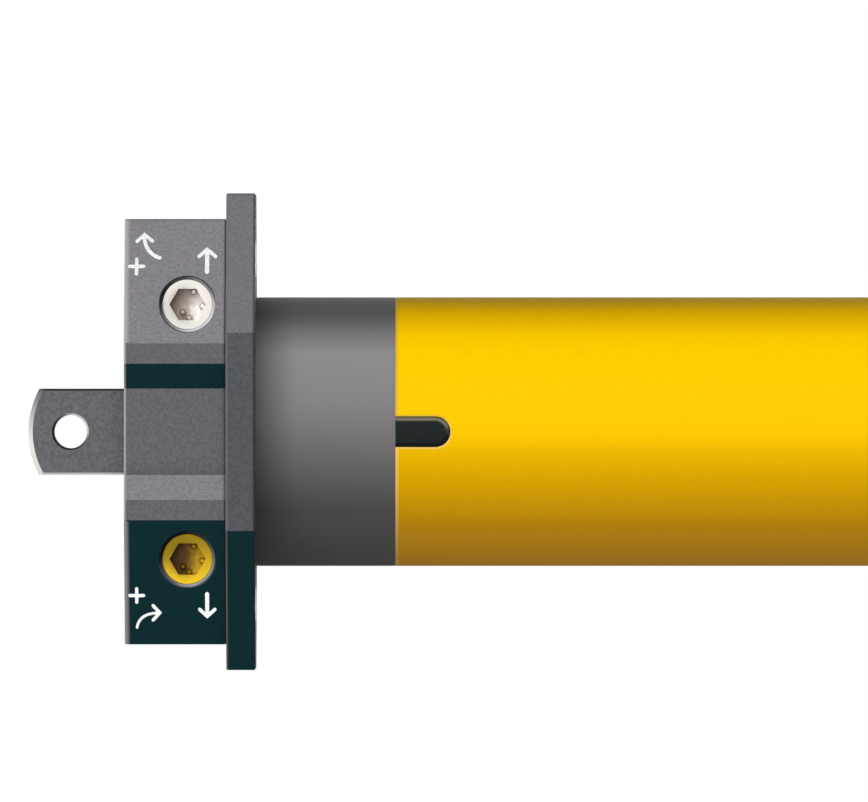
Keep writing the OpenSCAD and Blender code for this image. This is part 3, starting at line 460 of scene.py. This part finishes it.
# Each stroke is a little thicker than the one before, so that no two tops lie in one plane.
for side, marks, name in ((1, upper_marks, "upper_arrows"), (-1, lower_marks, "lower_arrows")):
    printed = bmesh.new()
    for k, (points, width) in enumerate(marks):
        outline = stroke_outline(points, width * MM)
        base = [printed.verts.new(on_facet(p.x, p.y, 0, side)) for p in outline]
        top = [printed.verts.new(on_facet(p.x, p.y, ink_film + film_step * k, side))
               for p in outline]
        printed.faces.new(top)
        printed.faces.new(base[::-1])
        for i in range(len(base)):
            printed.faces.new([base[i - 1], base[i], top[i], top[i - 1]])
    head_pieces.append(placed(name, as_mesh(name, printed), ink, "head_housing"))


# Limit adjusters
# Two acetal heads in pockets of the head, white for the upper limit and yellow for the lower.
# Small nubs stand in each hexagon recess to grip the key, and a rubber ring seals each pocket.
adjuster_face = white_box[0].y


def acetal(name, rim, tones):
    """Waxy moulded acetal, with painted shade in its recess, darkest at the recess's left-hand side
    and turning to painted light towards its right-hand side, and painted shade on the face round
    it."""
    material, tree, shader, place, grain = finish(
        name, size=1.1, roughness=0.5, specular=0.12, relief=0.02)
    at = add(tree, "ShaderNodeSeparateXYZ", None, {0: place.outputs["Object"]})
    inside = add(tree, "ShaderNodeMapRange", None, {
        "Value": at.outputs["Y"],
        "From Min": adjuster_face + 0.15 * MM, "From Max": adjuster_face + 1.2 * MM})
    across = add(tree, "ShaderNodeMapRange", None, {
        "Value": at.outputs["X"],
        "From Min": adjuster_x - 3.3 * MM, "From Max": adjuster_x + 2.2 * MM})
    cloudy = add(tree, "ShaderNodeMath", {"operation": "MULTIPLY_ADD"},
                 {0: grain, 1: 0.5, 2: -0.25})
    recess_light_and_grain = add(tree, "ShaderNodeMath", {"operation": "ADD"}, {0: across, 1: cloudy})
    recess = add(tree, "ShaderNodeValToRGB",
                 {"stops": list(zip((0.0, 0.3, 0.6, 0.95), tones))}, {0: recess_light_and_grain})
    sideways = add(tree, "ShaderNodeMath", {"operation": "SUBTRACT"},
                   {0: at.outputs["X"], 1: adjuster_x})
    height = add(tree, "ShaderNodeMath", {"operation": "ABSOLUTE"}, {0: at.outputs["Z"]})
    height = add(tree, "ShaderNodeMath", {"operation": "SUBTRACT"}, {0: height, 1: adjuster_z})
    spot = add(tree, "ShaderNodeCombineXYZ", None, {"X": sideways, "Y": height})
    off = add(tree, "ShaderNodeVectorMath", {"operation": "LENGTH"}, {0: spot})
    painted_shade_round_recess = add(tree, "ShaderNodeMapRange", None, {
        "Value": off.outputs["Value"], "From Min": 2.7 * MM, "From Max": 4.2 * MM,
        "To Min": 0.5, "To Max": 0.0})
    painted_shade_mask = add(tree, "ShaderNodeMath", {"operation": "MAXIMUM"}, {0: inside, 1: painted_shade_round_recess})
    tone = add(tree, "ShaderNodeMix", {"data_type": "RGBA"}, {0: painted_shade_mask, 6: linear(rim), 7: recess})
    tree.links.new(tone.outputs[2], shader.inputs["Base Color"])
    return material


# The recess tones run from painted shade at the left to painted light at the right.
white_acetal = acetal("white_acetal", "#E4DFDA", ("#8E8276", "#93877D", "#AEA299", "#F4EDE8"))
yellow_acetal = acetal("yellow_acetal", "#E4BC12", ("#501E00", "#583208", "#76550C", "#D8B014"))

# Synthetic rubber: matt grey, with light and shade painted round each ring: painted shade at its
# upper left and a painted highlight at its lower right, and painted shade over the whole ring round
# the lower adjuster.
seal_rubber, tree, shader, place, _ = finish(
    "grey_seal_rubber", size=0.4, roughness=0.7, specular=0.1)
at = add(tree, "ShaderNodeSeparateXYZ", None, {0: place.outputs["Object"]})
sideways = add(tree, "ShaderNodeMath", {"operation": "SUBTRACT"},
               {0: at.outputs["X"], 1: adjuster_x})
height = add(tree, "ShaderNodeMath", {"operation": "ABSOLUTE"}, {0: at.outputs["Z"]})
height = add(tree, "ShaderNodeMath", {"operation": "SUBTRACT"}, {0: height, 1: adjuster_z})
above = add(tree, "ShaderNodeMath", {"operation": "SIGN"}, {0: at.outputs["Z"]})
height = add(tree, "ShaderNodeMath", {"operation": "MULTIPLY"}, {0: height, 1: above})
painted_crescent = add(tree, "ShaderNodeMath", {"operation": "SUBTRACT"}, {0: sideways, 1: height})
painted_crescent = add(tree, "ShaderNodeMapRange", None,
            {"Value": painted_crescent, "From Min": -7 * MM, "From Max": 7 * MM})
tone = add(tree, "ShaderNodeValToRGB", {"stops": [
    (0.1, "#3A3A3D"), (0.35, "#7C7C80"), (0.65, "#98989C"), (0.9, "#DADADE")]}, {0: painted_crescent})
lower_ring_shade = add(tree, "ShaderNodeMath", {"operation": "MULTIPLY_ADD"}, {0: above, 1: 0.25, 2: 0.75})
tone = add(tree, "ShaderNodeVectorMath", {"operation": "SCALE"}, {0: tone, "Scale": lower_ring_shade})
tree.links.new(tone.outputs[0], shader.inputs["Base Color"])

# Where the nubs stand from the adjuster's centre, and the depth and radius of each step of a nub,
# from its foot to its tip, in mm.
nub_spots = [(1.12, 2.35), (2.75, -0.33), (0.29, -2.45), (-0.87, -1.41)]
nub_profile = [(4.5, 0.62), (1.6, 0.5), (1.25, 0.42), (1.05, 0.25), (0.98, 0.0)]
nub_sides = 12
adjuster_pieces = []
for node, centre_z, material in (("adjuster_white", adjuster_z, white_acetal),
                                 ("adjuster_yellow", -adjuster_z, yellow_acetal)):
    adjuster_pieces.append(dressed(node, material, rounding=0.18, angle=40))
    nubs = bmesh.new()
    for x, z in nub_spots:
        rings = []
        for depth, radius in nub_profile:
            turns = [math.tau * k / nub_sides for k in range(nub_sides if radius else 1)]
            rings.append([nubs.verts.new((adjuster_x + (x + radius * math.cos(a)) * MM,
                                          adjuster_face + depth * MM,
                                          centre_z + (z + radius * math.sin(a)) * MM))
                          for a in turns])
        nubs.faces.new(rings[0])
        for low, high in zip(rings, rings[1:]):
            for k in range(nub_sides):
                upper = high if len(high) == 1 else [high[k], high[k - 1]]
                nubs.faces.new([low[k - 1], low[k], *upper])
    for face in nubs.faces:
        face.smooth = True
    adjuster_pieces.append(placed(node + "_nubs", as_mesh(node + "_nubs", nubs), material, node))


def join_rings(shape, rings, smooth=True):
    """Faces between the rings of a shape that closes on itself, along it as well as round it."""
    for i, ring in enumerate(rings):
        for j in range(len(ring)):
            face = shape.faces.new([rings[i - 1][j - 1], ring[j - 1], ring[j], rings[i - 1][j]])
            face.smooth = smooth


seal_radius, seal_cord, seal_depth = 4.9, 0.27, 0.45
seal_steps, cord_steps = 64, 10
seals = bmesh.new()
for centre_z in (adjuster_z, -adjuster_z):
    rings = []
    for a in [math.tau * i / seal_steps for i in range(seal_steps)]:
        ring = []
        for b in [math.tau * j / cord_steps for j in range(cord_steps)]:
            reach = (seal_radius + seal_cord * math.cos(b)) * MM
            depth = (seal_depth + seal_cord * math.sin(b)) * MM
            ring.append(seals.verts.new((adjuster_x + reach * math.cos(a), adjuster_face + depth,
                                         centre_z + reach * math.sin(a))))
        rings.append(ring)
    join_rings(seals, rings)
adjuster_pieces.append(
    placed("adjuster_seals", as_mesh("adjuster_seals", seals), seal_rubber, "head_housing"))


# Flagged lamps
# Two more lamps, whose light is kept off the tube: one shines up at the head's lower facets, and
# one straight at the adjusters, which stand deep in their pockets.
def flagged(lamp, pieces):
    """Keeps a lamp's light on those pieces, and lets nothing else shade it."""
    lit = bpy.data.collections.new(lamp.name + "_lights")
    for piece in pieces:
        lit.objects.link(piece)
    lamp.light_linking.receiver_collection = lit
    lamp.light_linking.blocker_collection = lit


at_head = (0.02, 0, 0)
flagged(softbox("head_low_softbox", azimuth=-6, elevation=-50, brightness=0.50, size=0.5,
                aim=at_head), head_pieces)
flagged(softbox("adjuster_softbox", azimuth=-4, elevation=2, brightness=0.13, size=0.4,
                aim=at_head), adjuster_pieces)

# Cable socket
# A glass-filled nylon box let into the head's end wall, with four tinned brass blades for the
# cable's plug standing on its floor.

# Glass-filled nylon: black and half matt, with its glass just showing as a faint mottle.
socket_nylon = finish("black_glass_filled_nylon", size=0.5, roughness=0.5,
                      tones=("#131315", "#1F1F22"), specular=0.3)[0]
dressed("cable_socket", socket_nylon, rounding=0.1)
# Tinned brass: a warm, pale metal with fine rolling lines along the blades.
tinned_brass = finish("tinned_brass", size=(3, 3, 0.2), roughness=0.32,
                      tones=("#A98C52", "#CDB47C"), metallic=1.0, relief=0.003)[0]
dressed("socket_contacts", tinned_brass, rounding=0.08)

# Screws and clamp plate
# Countersunk screws in zinc-plated steel hold the base plate and the flange, and blackened cap
# screws pull the neck on to the flange through a zinc-plated steel ring.

# Zinc plate: a bright, cloudy blue-grey.
zinc_plate = finish("zinc_plated_steel", size=1.2, roughness=0.34,
                    tones=("#9FA3A8", "#C3C6CA"), metallic=1.0, relief=0.004)[0]
# Blackened steel: nearly black, with a low sheen.
blacked_steel = finish("blackened_steel", size=0.6, roughness=0.45,
                       tones=("#1E1E21", "#34353A"), metallic=0.6, relief=0.004)[0]
dressed("base_screws", zinc_plate, rounding=0.06)
dressed("flange_screws", zinc_plate, rounding=0.06)
dressed("clamp_plate", zinc_plate, rounding=0.15)
dressed("clamp_screws", blacked_steel, rounding=0.08)


# Neck
# The dark nylon moulding that the ring turns on. Its key fills the slot at the tube's front end;
# the key's edge carries a painted grey highlight along its upper side, and painted shade below.
casing_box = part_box("casing")
slot_half = 2.85 * MM
slot_end = casing_box[0].x + 7.35 * MM
key_face = -24.1 * MM


def slot_distance(tree, place):
    """How far a point of the front lies from the slot's middle line, which runs to the centre of
    the slot's round end."""
    at = add(tree, "ShaderNodeSeparateXYZ", None, {0: place.outputs["Object"]})
    past = add(tree, "ShaderNodeMath", {"operation": "SUBTRACT"}, {0: at.outputs["X"], 1: slot_end})
    past = add(tree, "ShaderNodeMath", {"operation": "MAXIMUM"}, {0: past, 1: 0.0})
    across = add(tree, "ShaderNodeCombineXYZ", None, {"X": past, "Y": at.outputs["Z"]})
    off = add(tree, "ShaderNodeVectorMath", {"operation": "LENGTH"}, {0: across})
    return at, off.outputs["Value"]


# Neck nylon: nearly black with a green cast, matt, with a mould grain drawn coarser than it is.
neck_nylon, tree, shader, place, grain = finish(
    "dark_neck_nylon", size=0.6, roughness=0.6, specular=0.06)
at, off = slot_distance(tree, place)
dark = add(tree, "ShaderNodeValToRGB", {"stops": [(0.35, "#161D1E"), (0.65, "#1C2424")]},
           {0: grain})
# Painted light and shade on the key's front edge: grey towards its top, nearly black towards its
# bottom.
rim = add(tree, "ShaderNodeMapRange", None, {
    "Value": off, "From Min": slot_half - 0.95 * MM, "From Max": slot_half - 0.65 * MM})
front = add(tree, "ShaderNodeMath", {"operation": "LESS_THAN"}, {0: at.outputs["Y"], 1: key_face})
rim = add(tree, "ShaderNodeMath", {"operation": "MULTIPLY"}, {0: rim, 1: front})
height = add(tree, "ShaderNodeMapRange", None, {
    "Value": at.outputs["Z"], "From Min": -1.6 * MM, "From Max": 1.6 * MM})
edge = add(tree, "ShaderNodeValToRGB", {"stops": [
    (0.2, "#0C0F0F"), (0.6, "#3A3830"), (0.95, "#797262")]}, {0: height})
tone = add(tree, "ShaderNodeMix", {"data_type": "RGBA"}, {0: rim, 6: dark, 7: edge})
tree.links.new(tone.outputs[2], shader.inputs["Base Color"])
dressed("neck", neck_nylon, rounding=0.05)


# Limit drive ring
# A smooth glass-filled nylon ring that the roller tube's adaptor turns. A washer at each end, let
# into its chamfer, takes up the play against the flange and the tube.
def painted_by_facing(name, size, roughness, stops, specular, relief):
    """A finish with light and shade painted into its colour, which runs with the height that the
    surface faces, from underneath (0) to the top (1)."""
    material, tree, shader, place, grain = finish(
        name, size, roughness, specular=specular, relief=relief)
    faces = add(tree, "ShaderNodeSeparateXYZ", None, {0: place.outputs["Normal"]})
    tilt = add(tree, "ShaderNodeMath", {"operation": "MULTIPLY_ADD"},
               {0: faces.outputs["Z"], 1: 0.5, 2: 0.5})
    painted_light_band = add(tree, "ShaderNodeValToRGB", {"stops": stops}, {0: tilt})
    shade = add(tree, "ShaderNodeMapRange", None, {
        "Value": grain, "From Min": 0.3, "From Max": 0.7, "To Min": 0.985, "To Max": 1.015})
    tone = add(tree, "ShaderNodeVectorMath", {"operation": "SCALE"}, {0: painted_light_band, "Scale": shade})
    tree.links.new(tone.outputs[0], shader.inputs["Base Color"])
    return material, tree, shader, place, tone


# Smooth nylon: an even grey with a soft sheen, with a painted highlight along the upper part of its
# front and back, and painted shade towards the top and the underside.
ring_nylon = painted_by_facing("smooth_ring_nylon", size=0.6, roughness=0.5, stops=[
    (0.0, "#626263"), (0.21, "#545453"), (0.5, "#737172"), (0.79, "#8C8A8B"), (0.86, "#787677"),
    (0.93, "#525252"), (1.0, "#404040")], specular=0.08, relief=0.001)[0]
dressed("limit_ring", ring_nylon, rounding=0.04)
ring_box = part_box("limit_ring")

# The corners of the washers' section: how far each stands out from the ring's end, and its
# radius, in mm.
washer_section = [(0.01, 24.2), (0.01, 24.6), (-0.37, 24.98), (0.13, 24.98), (0.13, 24.2)]
washer_steps = 180
washers = bmesh.new()
for end, way in ((ring_box[0].x, -1), (ring_box[1].x, 1)):
    rings = []
    for a in [math.tau * i / washer_steps for i in range(washer_steps)]:
        rings.append([washers.verts.new((end + way * out * MM, radius * MM * math.cos(a),
                                         radius * MM * math.sin(a)))
                      for out, radius in washer_section])
    join_rings(washers, rings, smooth=False)
placed("ring_washers", as_mesh("ring_washers", washers), ring_nylon, "limit_ring")

# Tube
# A 50 mm steel tube with a 1 mm wall, powder coated yellow after its slot and rivet holes are
# punched. Flush rivets hold it on the neck and on the end cap.

# Powder coat: a warm, even yellow with a faint orange peel. Round the slot and along the front end
# it has a painted line, a painted highlight below the middle and painted shade above it, and it has
# painted shade towards the tube's top and underside.
yellow_coat, tree, shader, place, coat = painted_by_facing(
    "yellow_powder_coat", size=1.4, roughness=0.5, stops=[
        (0.0, "#EBAE34"), (0.15, "#D49A12"), (0.32, "#E3AD02"), (0.5, "#FEC800"),
        (0.86, "#FFCD00"), (0.94, "#E9B300"), (1.0, "#B48F08")], specular=0.015, relief=0.002)
edge_line_strength = 0.42
at, off = slot_distance(tree, place)
slot_rim = add(tree, "ShaderNodeMapRange", None, {
    "Value": off, "From Min": slot_half + 0.2 * MM, "From Max": slot_half + 0.5 * MM,
    "To Min": 1, "To Max": 0})
front = add(tree, "ShaderNodeMath", {"operation": "LESS_THAN"}, {0: at.outputs["Y"], 1: 0.0})
slot_rim = add(tree, "ShaderNodeMath", {"operation": "MULTIPLY"}, {0: slot_rim, 1: front})
end_rim = add(tree, "ShaderNodeMapRange", None, {
    "Value": at.outputs["X"],
    "From Min": casing_box[0].x + 0.25 * MM, "From Max": casing_box[0].x + 0.7 * MM,
    "To Min": 1, "To Max": 0})
rims = add(tree, "ShaderNodeMath", {"operation": "MAXIMUM"}, {0: slot_rim, 1: end_rim})
# A painted line round the slot and along the front end: a painted highlight below the middle and
# painted shade above it.
painted_edge_light_and_shade = add(tree, "ShaderNodeMath", {"operation": "MULTIPLY"}, {0: rims, 1: edge_line_strength})
height = add(tree, "ShaderNodeMapRange", None, {
    "Value": at.outputs["Z"], "From Min": -3 * MM, "From Max": 3 * MM})
rim = add(tree, "ShaderNodeValToRGB", {"stops": [(0.0, "#F6DC98"), (1.0, "#A39248")]}, {0: height})
tone = add(tree, "ShaderNodeMix", {"data_type": "RGBA"}, {0: painted_edge_light_and_shade, 6: coat, 7: rim})
tree.links.new(tone.outputs[2], shader.inputs["Base Color"])
dressed("casing", yellow_coat, rounding=0.12)
dressed("casing_rivets", zinc_plate, rounding=0.1)


# Limit switch
# A black acetal chassis carries two steel spindles that the drive ring's inside teeth turn, brass
# nuts that travel along them, and a microswitch on a carriage for each end of the blind's run.
def thread_tree():
    """Geometry nodes for a screw thread or a spring: a round ridge that winds along Z."""
    group = bpy.data.node_groups.new("screw_thread", "GeometryNodeTree")
    group.interface.new_socket("Geometry", in_out="OUTPUT", socket_type="NodeSocketGeometry")
    for name, kind in (("Radius", "Float"), ("Length", "Float"), ("Pitch", "Float"),
                       ("Wire", "Float"), ("Sides", "Int"), ("Finish", "Material")):
        group.interface.new_socket(name, in_out="INPUT", socket_type="NodeSocket" + kind)
    given = add(group, "NodeGroupInput")
    turns = add(group, "ShaderNodeMath", {"operation": "DIVIDE"},
                {0: given.outputs["Length"], 1: given.outputs["Pitch"]})
    coil = add(group, "GeometryNodeCurveSpiral", None, {
        "Resolution": 20, "Rotations": turns, "Start Radius": given.outputs["Radius"],
        "End Radius": given.outputs["Radius"], "Height": given.outputs["Length"]})
    profile = add(group, "GeometryNodeCurvePrimitiveCircle", None,
                  {"Resolution": given.outputs["Sides"], "Radius": given.outputs["Wire"]})
    ridge = add(group, "GeometryNodeCurveToMesh", None,
                {"Curve": coil, "Profile Curve": profile, "Fill Caps": True})
    real = add(group, "GeometryNodeRealizeInstances", None, {"Geometry": ridge})
    done = add(group, "GeometryNodeSetMaterial", None,
               {"Geometry": real, "Material": given.outputs["Finish"]})
    add(group, "NodeGroupOutput", None, {0: done})
    return group


threads = thread_tree()


def wound(name, node, material, start, radius, length, pitch, wire, sides=4):
    """A thread or spring along X from its start point, made by the thread's tree. Its radius,
    length, pitch and wire radius are in mm."""
    weld = 0.0005 * MM
    piece = bpy.data.objects.new(name, bpy.data.meshes.new(name))
    bpy.context.scene.collection.objects.link(piece)
    maker = piece.modifiers.new("thread", "NODES")
    maker.node_group = threads
    sizes = {"Radius": radius * MM, "Length": length * MM, "Pitch": pitch * MM, "Wire": wire * MM,
             "Sides": sides, "Finish": material}
    for item in threads.interface.items_tree:
        if item.in_out == "INPUT":
            maker[item.identifier] = sizes[item.name]
    mesh = made_plain(piece)
    bpy.data.objects.remove(piece)
    mesh.transform(Matrix.Translation(start) @ Matrix.Rotation(math.radians(90), 4, "Y"))
    shell = bmesh.new()
    shell.from_mesh(mesh)
    bmesh.ops.remove_doubles(shell, verts=shell.verts, dist=weld)
    bmesh.ops.recalc_face_normals(shell, faces=shell.faces)
    shell.to_mesh(mesh)
    shell.free()
    return placed(name, mesh, material, node)


# Acetal: black and waxy.
chassis_acetal = finish("black_acetal", size=0.8, roughness=0.42,
                        tones=("#18181A", "#232326"), specular=0.4)[0]
# Turned steel and brass: bright, with fine tool rings round their axes, drawn coarser than real
# ones so that they show.
turned_steel = finish("turned_bright_steel", size=(0.15, 6, 6), roughness=0.3,
                      tones=("#8B8D91", "#B4B6BA"), metallic=1.0, relief=0.002)[0]
turned_brass = finish("turned_brass", size=(0.2, 5, 5), roughness=0.3,
                      tones=("#A98545", "#CDA968"), metallic=1.0, relief=0.002)[0]
# Moulded nylon: an even signal red with a soft shine.
red_button = finish("red_moulded_nylon", size=0.5, roughness=0.4, tones=("#A31710", "#BE2117"))[0]
dressed("switch_chassis", chassis_acetal, rounding=0.15)
coated(turned_steel, "spindle_a", "spindle_b", "adjusting_screw_a", "adjusting_screw_b")
dressed("travel_nut_a", turned_brass, rounding=0.15)
dressed("travel_nut_b", turned_brass, rounding=0.15)
dressed("switch_carriage_a", white_acetal, rounding=0.2)
dressed("switch_carriage_b", yellow_acetal, rounding=0.2)
dressed("microswitch_a", socket_nylon, rounding=0.15)
dressed("microswitch_b", socket_nylon, rounding=0.15)
coated(red_button, "switch_plunger_a", "switch_plunger_b")

# For each screw, the piece at the middle of its thread (the two nuts stand level at rest), how far
# the thread reaches on either side of that piece, and its pitch, in mm.
screws = [("spindle_a", "travel_nut_a", 16, 0.7), ("spindle_b", "travel_nut_a", 16, 0.7),
          ("adjusting_screw_a", "switch_carriage_a", 3.2, 1.5),
          ("adjusting_screw_b", "switch_carriage_b", 3.2, 1.5)]
screw_radius, ridge, plain_end = 2.0, 0.06, 0.5
for screw, nut, reach, pitch in screws:
    low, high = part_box(screw)
    middle = (low + high) / 2
    nut_low, nut_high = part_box(nut)
    first = nut_low.x - reach * MM
    last = min(nut_high.x + reach * MM, high.x - plain_end * MM)
    wound(screw + "_thread", screw, turned_steel, (first, middle.y, middle.z),
          radius=screw_radius, length=(last - first) / MM, pitch=pitch, wire=ridge)

# Capacitor
# A run capacitor in a white polypropylene can with dark resin over its winding and two tinned
# tabs, in a black nylon cage that centres it in the tube.

# Polypropylene: off-white and faintly waxy. The last few millimetres are the resin and the tabs.
can_plastic, tree, shader, place, _ = finish(
    "white_polypropylene_can", size=2.0, roughness=0.4, specular=0.4, relief=0.005)
can_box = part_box("capacitor")
at = add(tree, "ShaderNodeSeparateXYZ", None, {0: place.outputs["Object"]})
along = add(tree, "ShaderNodeMapRange", None, {
    "Value": at.outputs["X"], "From Min": can_box[0].x, "From Max": can_box[1].x})
tone = add(tree, "ShaderNodeValToRGB", {"stops": [
    (0.0, "#DAD9D4"), (0.93, "#E2E1DC"), (0.94, "#3A3A3C"), (0.964, "#3A3A3C"),
    (0.966, "#B9B4A6")]}, {0: along})
tree.links.new(tone.outputs[0], shader.inputs["Base Color"])
coated(can_plastic, "capacitor")
dressed("capacitor_holder", socket_nylon, rounding=0.3)

# Motor
# Two die-cast aluminium shields hold sintered bronze bushes. Between them stand a stator of stamped
# steel sheets with enamelled copper windings, and a rotor of the same sheets on a ground shaft.

# Die-cast aluminium: mid grey and dull, with a pebbled skin.
die_cast = finish("die_cast_aluminium", size=0.9, roughness=0.42,
                  tones=("#8E9093", "#A9ABAE"), metallic=0.9, relief=0.02)[0]
# Sintered bronze: brown, specked with its pores.
bush_bronze = finish("sintered_bronze", size=0.25, roughness=0.5,
                     tones=("#6B4A22", "#A37C42"), metallic=0.8, relief=0.01)[0]
# Stamped sheets: dark and pale lines, one for each 0.5 mm sheet.
sheets = finish("stamped_core_sheets", size=(0.5, 60, 60), roughness=0.5,
                tones=("#4A4C50", "#7C7E82"), metallic=0.7, relief=0.05)[0]
coated(die_cast, "front_shield", "rear_shield")
coated(bush_bronze, "motor_bushes")
coated(sheets, "stator_core", "rotor_core")
coated(turned_steel, "motor_shaft")

# Enamelled copper wire: glossy red-brown strands with dark gaps, which lie slightly askew round
# each bundle. The wire is 0.35 mm thick, and is drawn at 0.9 mm so that it shows.
strand_width, strand_drift = 0.9 * MM, 0.8 * MM
enamelled, tree, shader, place, _ = finish(
    "enamelled_copper_wire", size=1.0, roughness=0.35, metallic=0.6, relief=0.2)
at = add(tree, "ShaderNodeSeparateXYZ", None, {0: place.outputs["Object"]})
disc = add(tree, "ShaderNodeCombineXYZ", None, {"X": at.outputs["Y"], "Y": at.outputs["Z"]})
radius = add(tree, "ShaderNodeVectorMath", {"operation": "LENGTH"}, {0: disc})
turn = add(tree, "ShaderNodeMath", {"operation": "ARCTAN2"},
           {0: at.outputs["Y"], 1: at.outputs["Z"]})
drift = add(tree, "ShaderNodeMath", {"operation": "MULTIPLY"}, {0: turn, 1: strand_drift})
level = add(tree, "ShaderNodeMath", {"operation": "ADD"}, {0: radius.outputs["Value"], 1: drift})
strand = add(tree, "ShaderNodeCombineXYZ", None, {"X": at.outputs["X"], "Y": level})
cells = add(tree, "ShaderNodeTexVoronoi", None, {"Vector": strand, "Scale": 1 / strand_width})
wires = add(tree, "ShaderNodeValToRGB", {"stops": [
    (0.1, "#C26A34"), (0.45, "#A24F22"), (0.75, "#4A1E0A")]}, {0: cells.outputs["Distance"]})
tree.links.new(wires.outputs[0], shader.inputs["Base Color"])
coated(enamelled, "stator_windings")

# Waxed cord, off-white and dull, is tied in twelve loops round each end bundle. A loop is an oval
# from inside the bundle to outside it, made of rings of points along the cord; sizes are in mm.
lacing = finish("waxed_lacing_cord", size=0.4, roughness=0.7, tones=("#CFC7B2", "#E6DFCC"))[0]
winding_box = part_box("stator_windings")
ties, tie_inset, tie_radius = 12, 4.4, 16.9 + 0.75
tie_reach, tie_height, cord_radius = 4.75, 3.5, 0.35
tie_steps, cord_sides = 24, 6
loops = bmesh.new()
for x in (winding_box[0].x + tie_inset * MM, winding_box[1].x - tie_inset * MM):
    for k in range(ties):
        swing = Matrix.Rotation(math.tau * (k + 0.5) / ties, 3, "X")
        rings = []
        for t in [math.tau * i / tie_steps for i in range(tie_steps)]:
            spine = Vector((x + tie_reach * MM * math.cos(t), 0,
                            (tie_radius + tie_height * math.sin(t)) * MM))
            out = Vector((math.cos(t), 0, math.sin(t)))
            ring = []
            for b in [math.tau * j / cord_sides for j in range(cord_sides)]:
                round_cord = out * math.cos(b) + Vector((0, 1, 0)) * math.sin(b)
                ring.append(loops.verts.new(swing @ (spine + round_cord * cord_radius * MM)))
            rings.append(ring)
        join_rings(loops, rings)
placed("winding_lacing", as_mesh("winding_lacing", loops), lacing, "stator_windings")

# Brake
# A lacquered steel pot magnet draws a zinc-plated armature off the friction disc on the shaft. The
# release spring is wound from bright steel wire, and stands in the magnet's pocket.
coated(blacked_steel, "brake_magnet")
dressed("brake_armature", zinc_plate, rounding=0.2)
# Moulded friction lining: dry and dark brown, with coarse crumbs.
lining = finish("moulded_friction_lining", size=0.7, roughness=0.85,
                tones=("#3A2A20", "#5E4A3A"), relief=0.05)[0]
coated(lining, "brake_disc")
spring_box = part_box("brake_spring")
spring_end = 1.1
spring = wound("brake_spring_wire", "brake_spring", turned_steel,
               (spring_box[0].x + spring_end * MM, 0, 0), radius=6.8,
               length=(spring_box[1].x - spring_box[0].x) / MM - 2 * spring_end, pitch=2.3,
               wire=1.05, sides=12)
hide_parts("brake_spring")

# Gearbox
# A turned aluminium housing, toothed inside, round three planetary stages: hobbed nylon planets in
# the fast stage, sintered steel planets in the others, and steel carriers.

# Natural nylon: cream, with a satin surface.
gear_nylon = finish("hobbed_natural_nylon", size=0.6, roughness=0.45,
                    tones=("#E2DCC8", "#EFEADB"), relief=0.01)[0]
# Sintered steel: mid grey and dull, with fine pores.
sintered = finish("sintered_steel", size=0.3, roughness=0.45,
                  tones=("#6C6E72", "#93959A"), metallic=0.9, relief=0.01)[0]
coated(die_cast, "gearbox_housing")
coated(gear_nylon, "planet_1a", "planet_1b", "planet_1c")
coated(sintered, "planet_2a", "planet_2b", "planet_2c", "planet_3a", "planet_3b", "planet_3c")
coated(turned_steel, "sun_gear", "carrier_1", "carrier_2", "carrier_3")

# Drive end
# A dark nylon cap riveted into the tube holds a bronze bush for the hexagonal steel output shaft,
# whose end is tapped for a screw. A blackened circlip holds the shaft in.

# Cap nylon: green-black, with a satin surface.
cap_nylon = finish("dark_cap_nylon", size=0.6, roughness=0.55,
                   tones=("#171D1E", "#1F2728"), specular=0.2)[0]
dressed("end_cap", cap_nylon, rounding=0.3)
dressed("output_bush", bush_bronze, rounding=0.15)
dressed("output_circlip", blacked_steel, rounding=0.1)
dressed("output_shaft", turned_steel, rounding=0.25)
shaft_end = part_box("output_shaft")[1].x
tapped_depth = 14 * MM
wound("output_shaft_thread", "output_shaft", turned_steel, (shaft_end - tapped_depth, 0, 0),
      radius=2.5, length=13, pitch=1.0, wire=0.25)
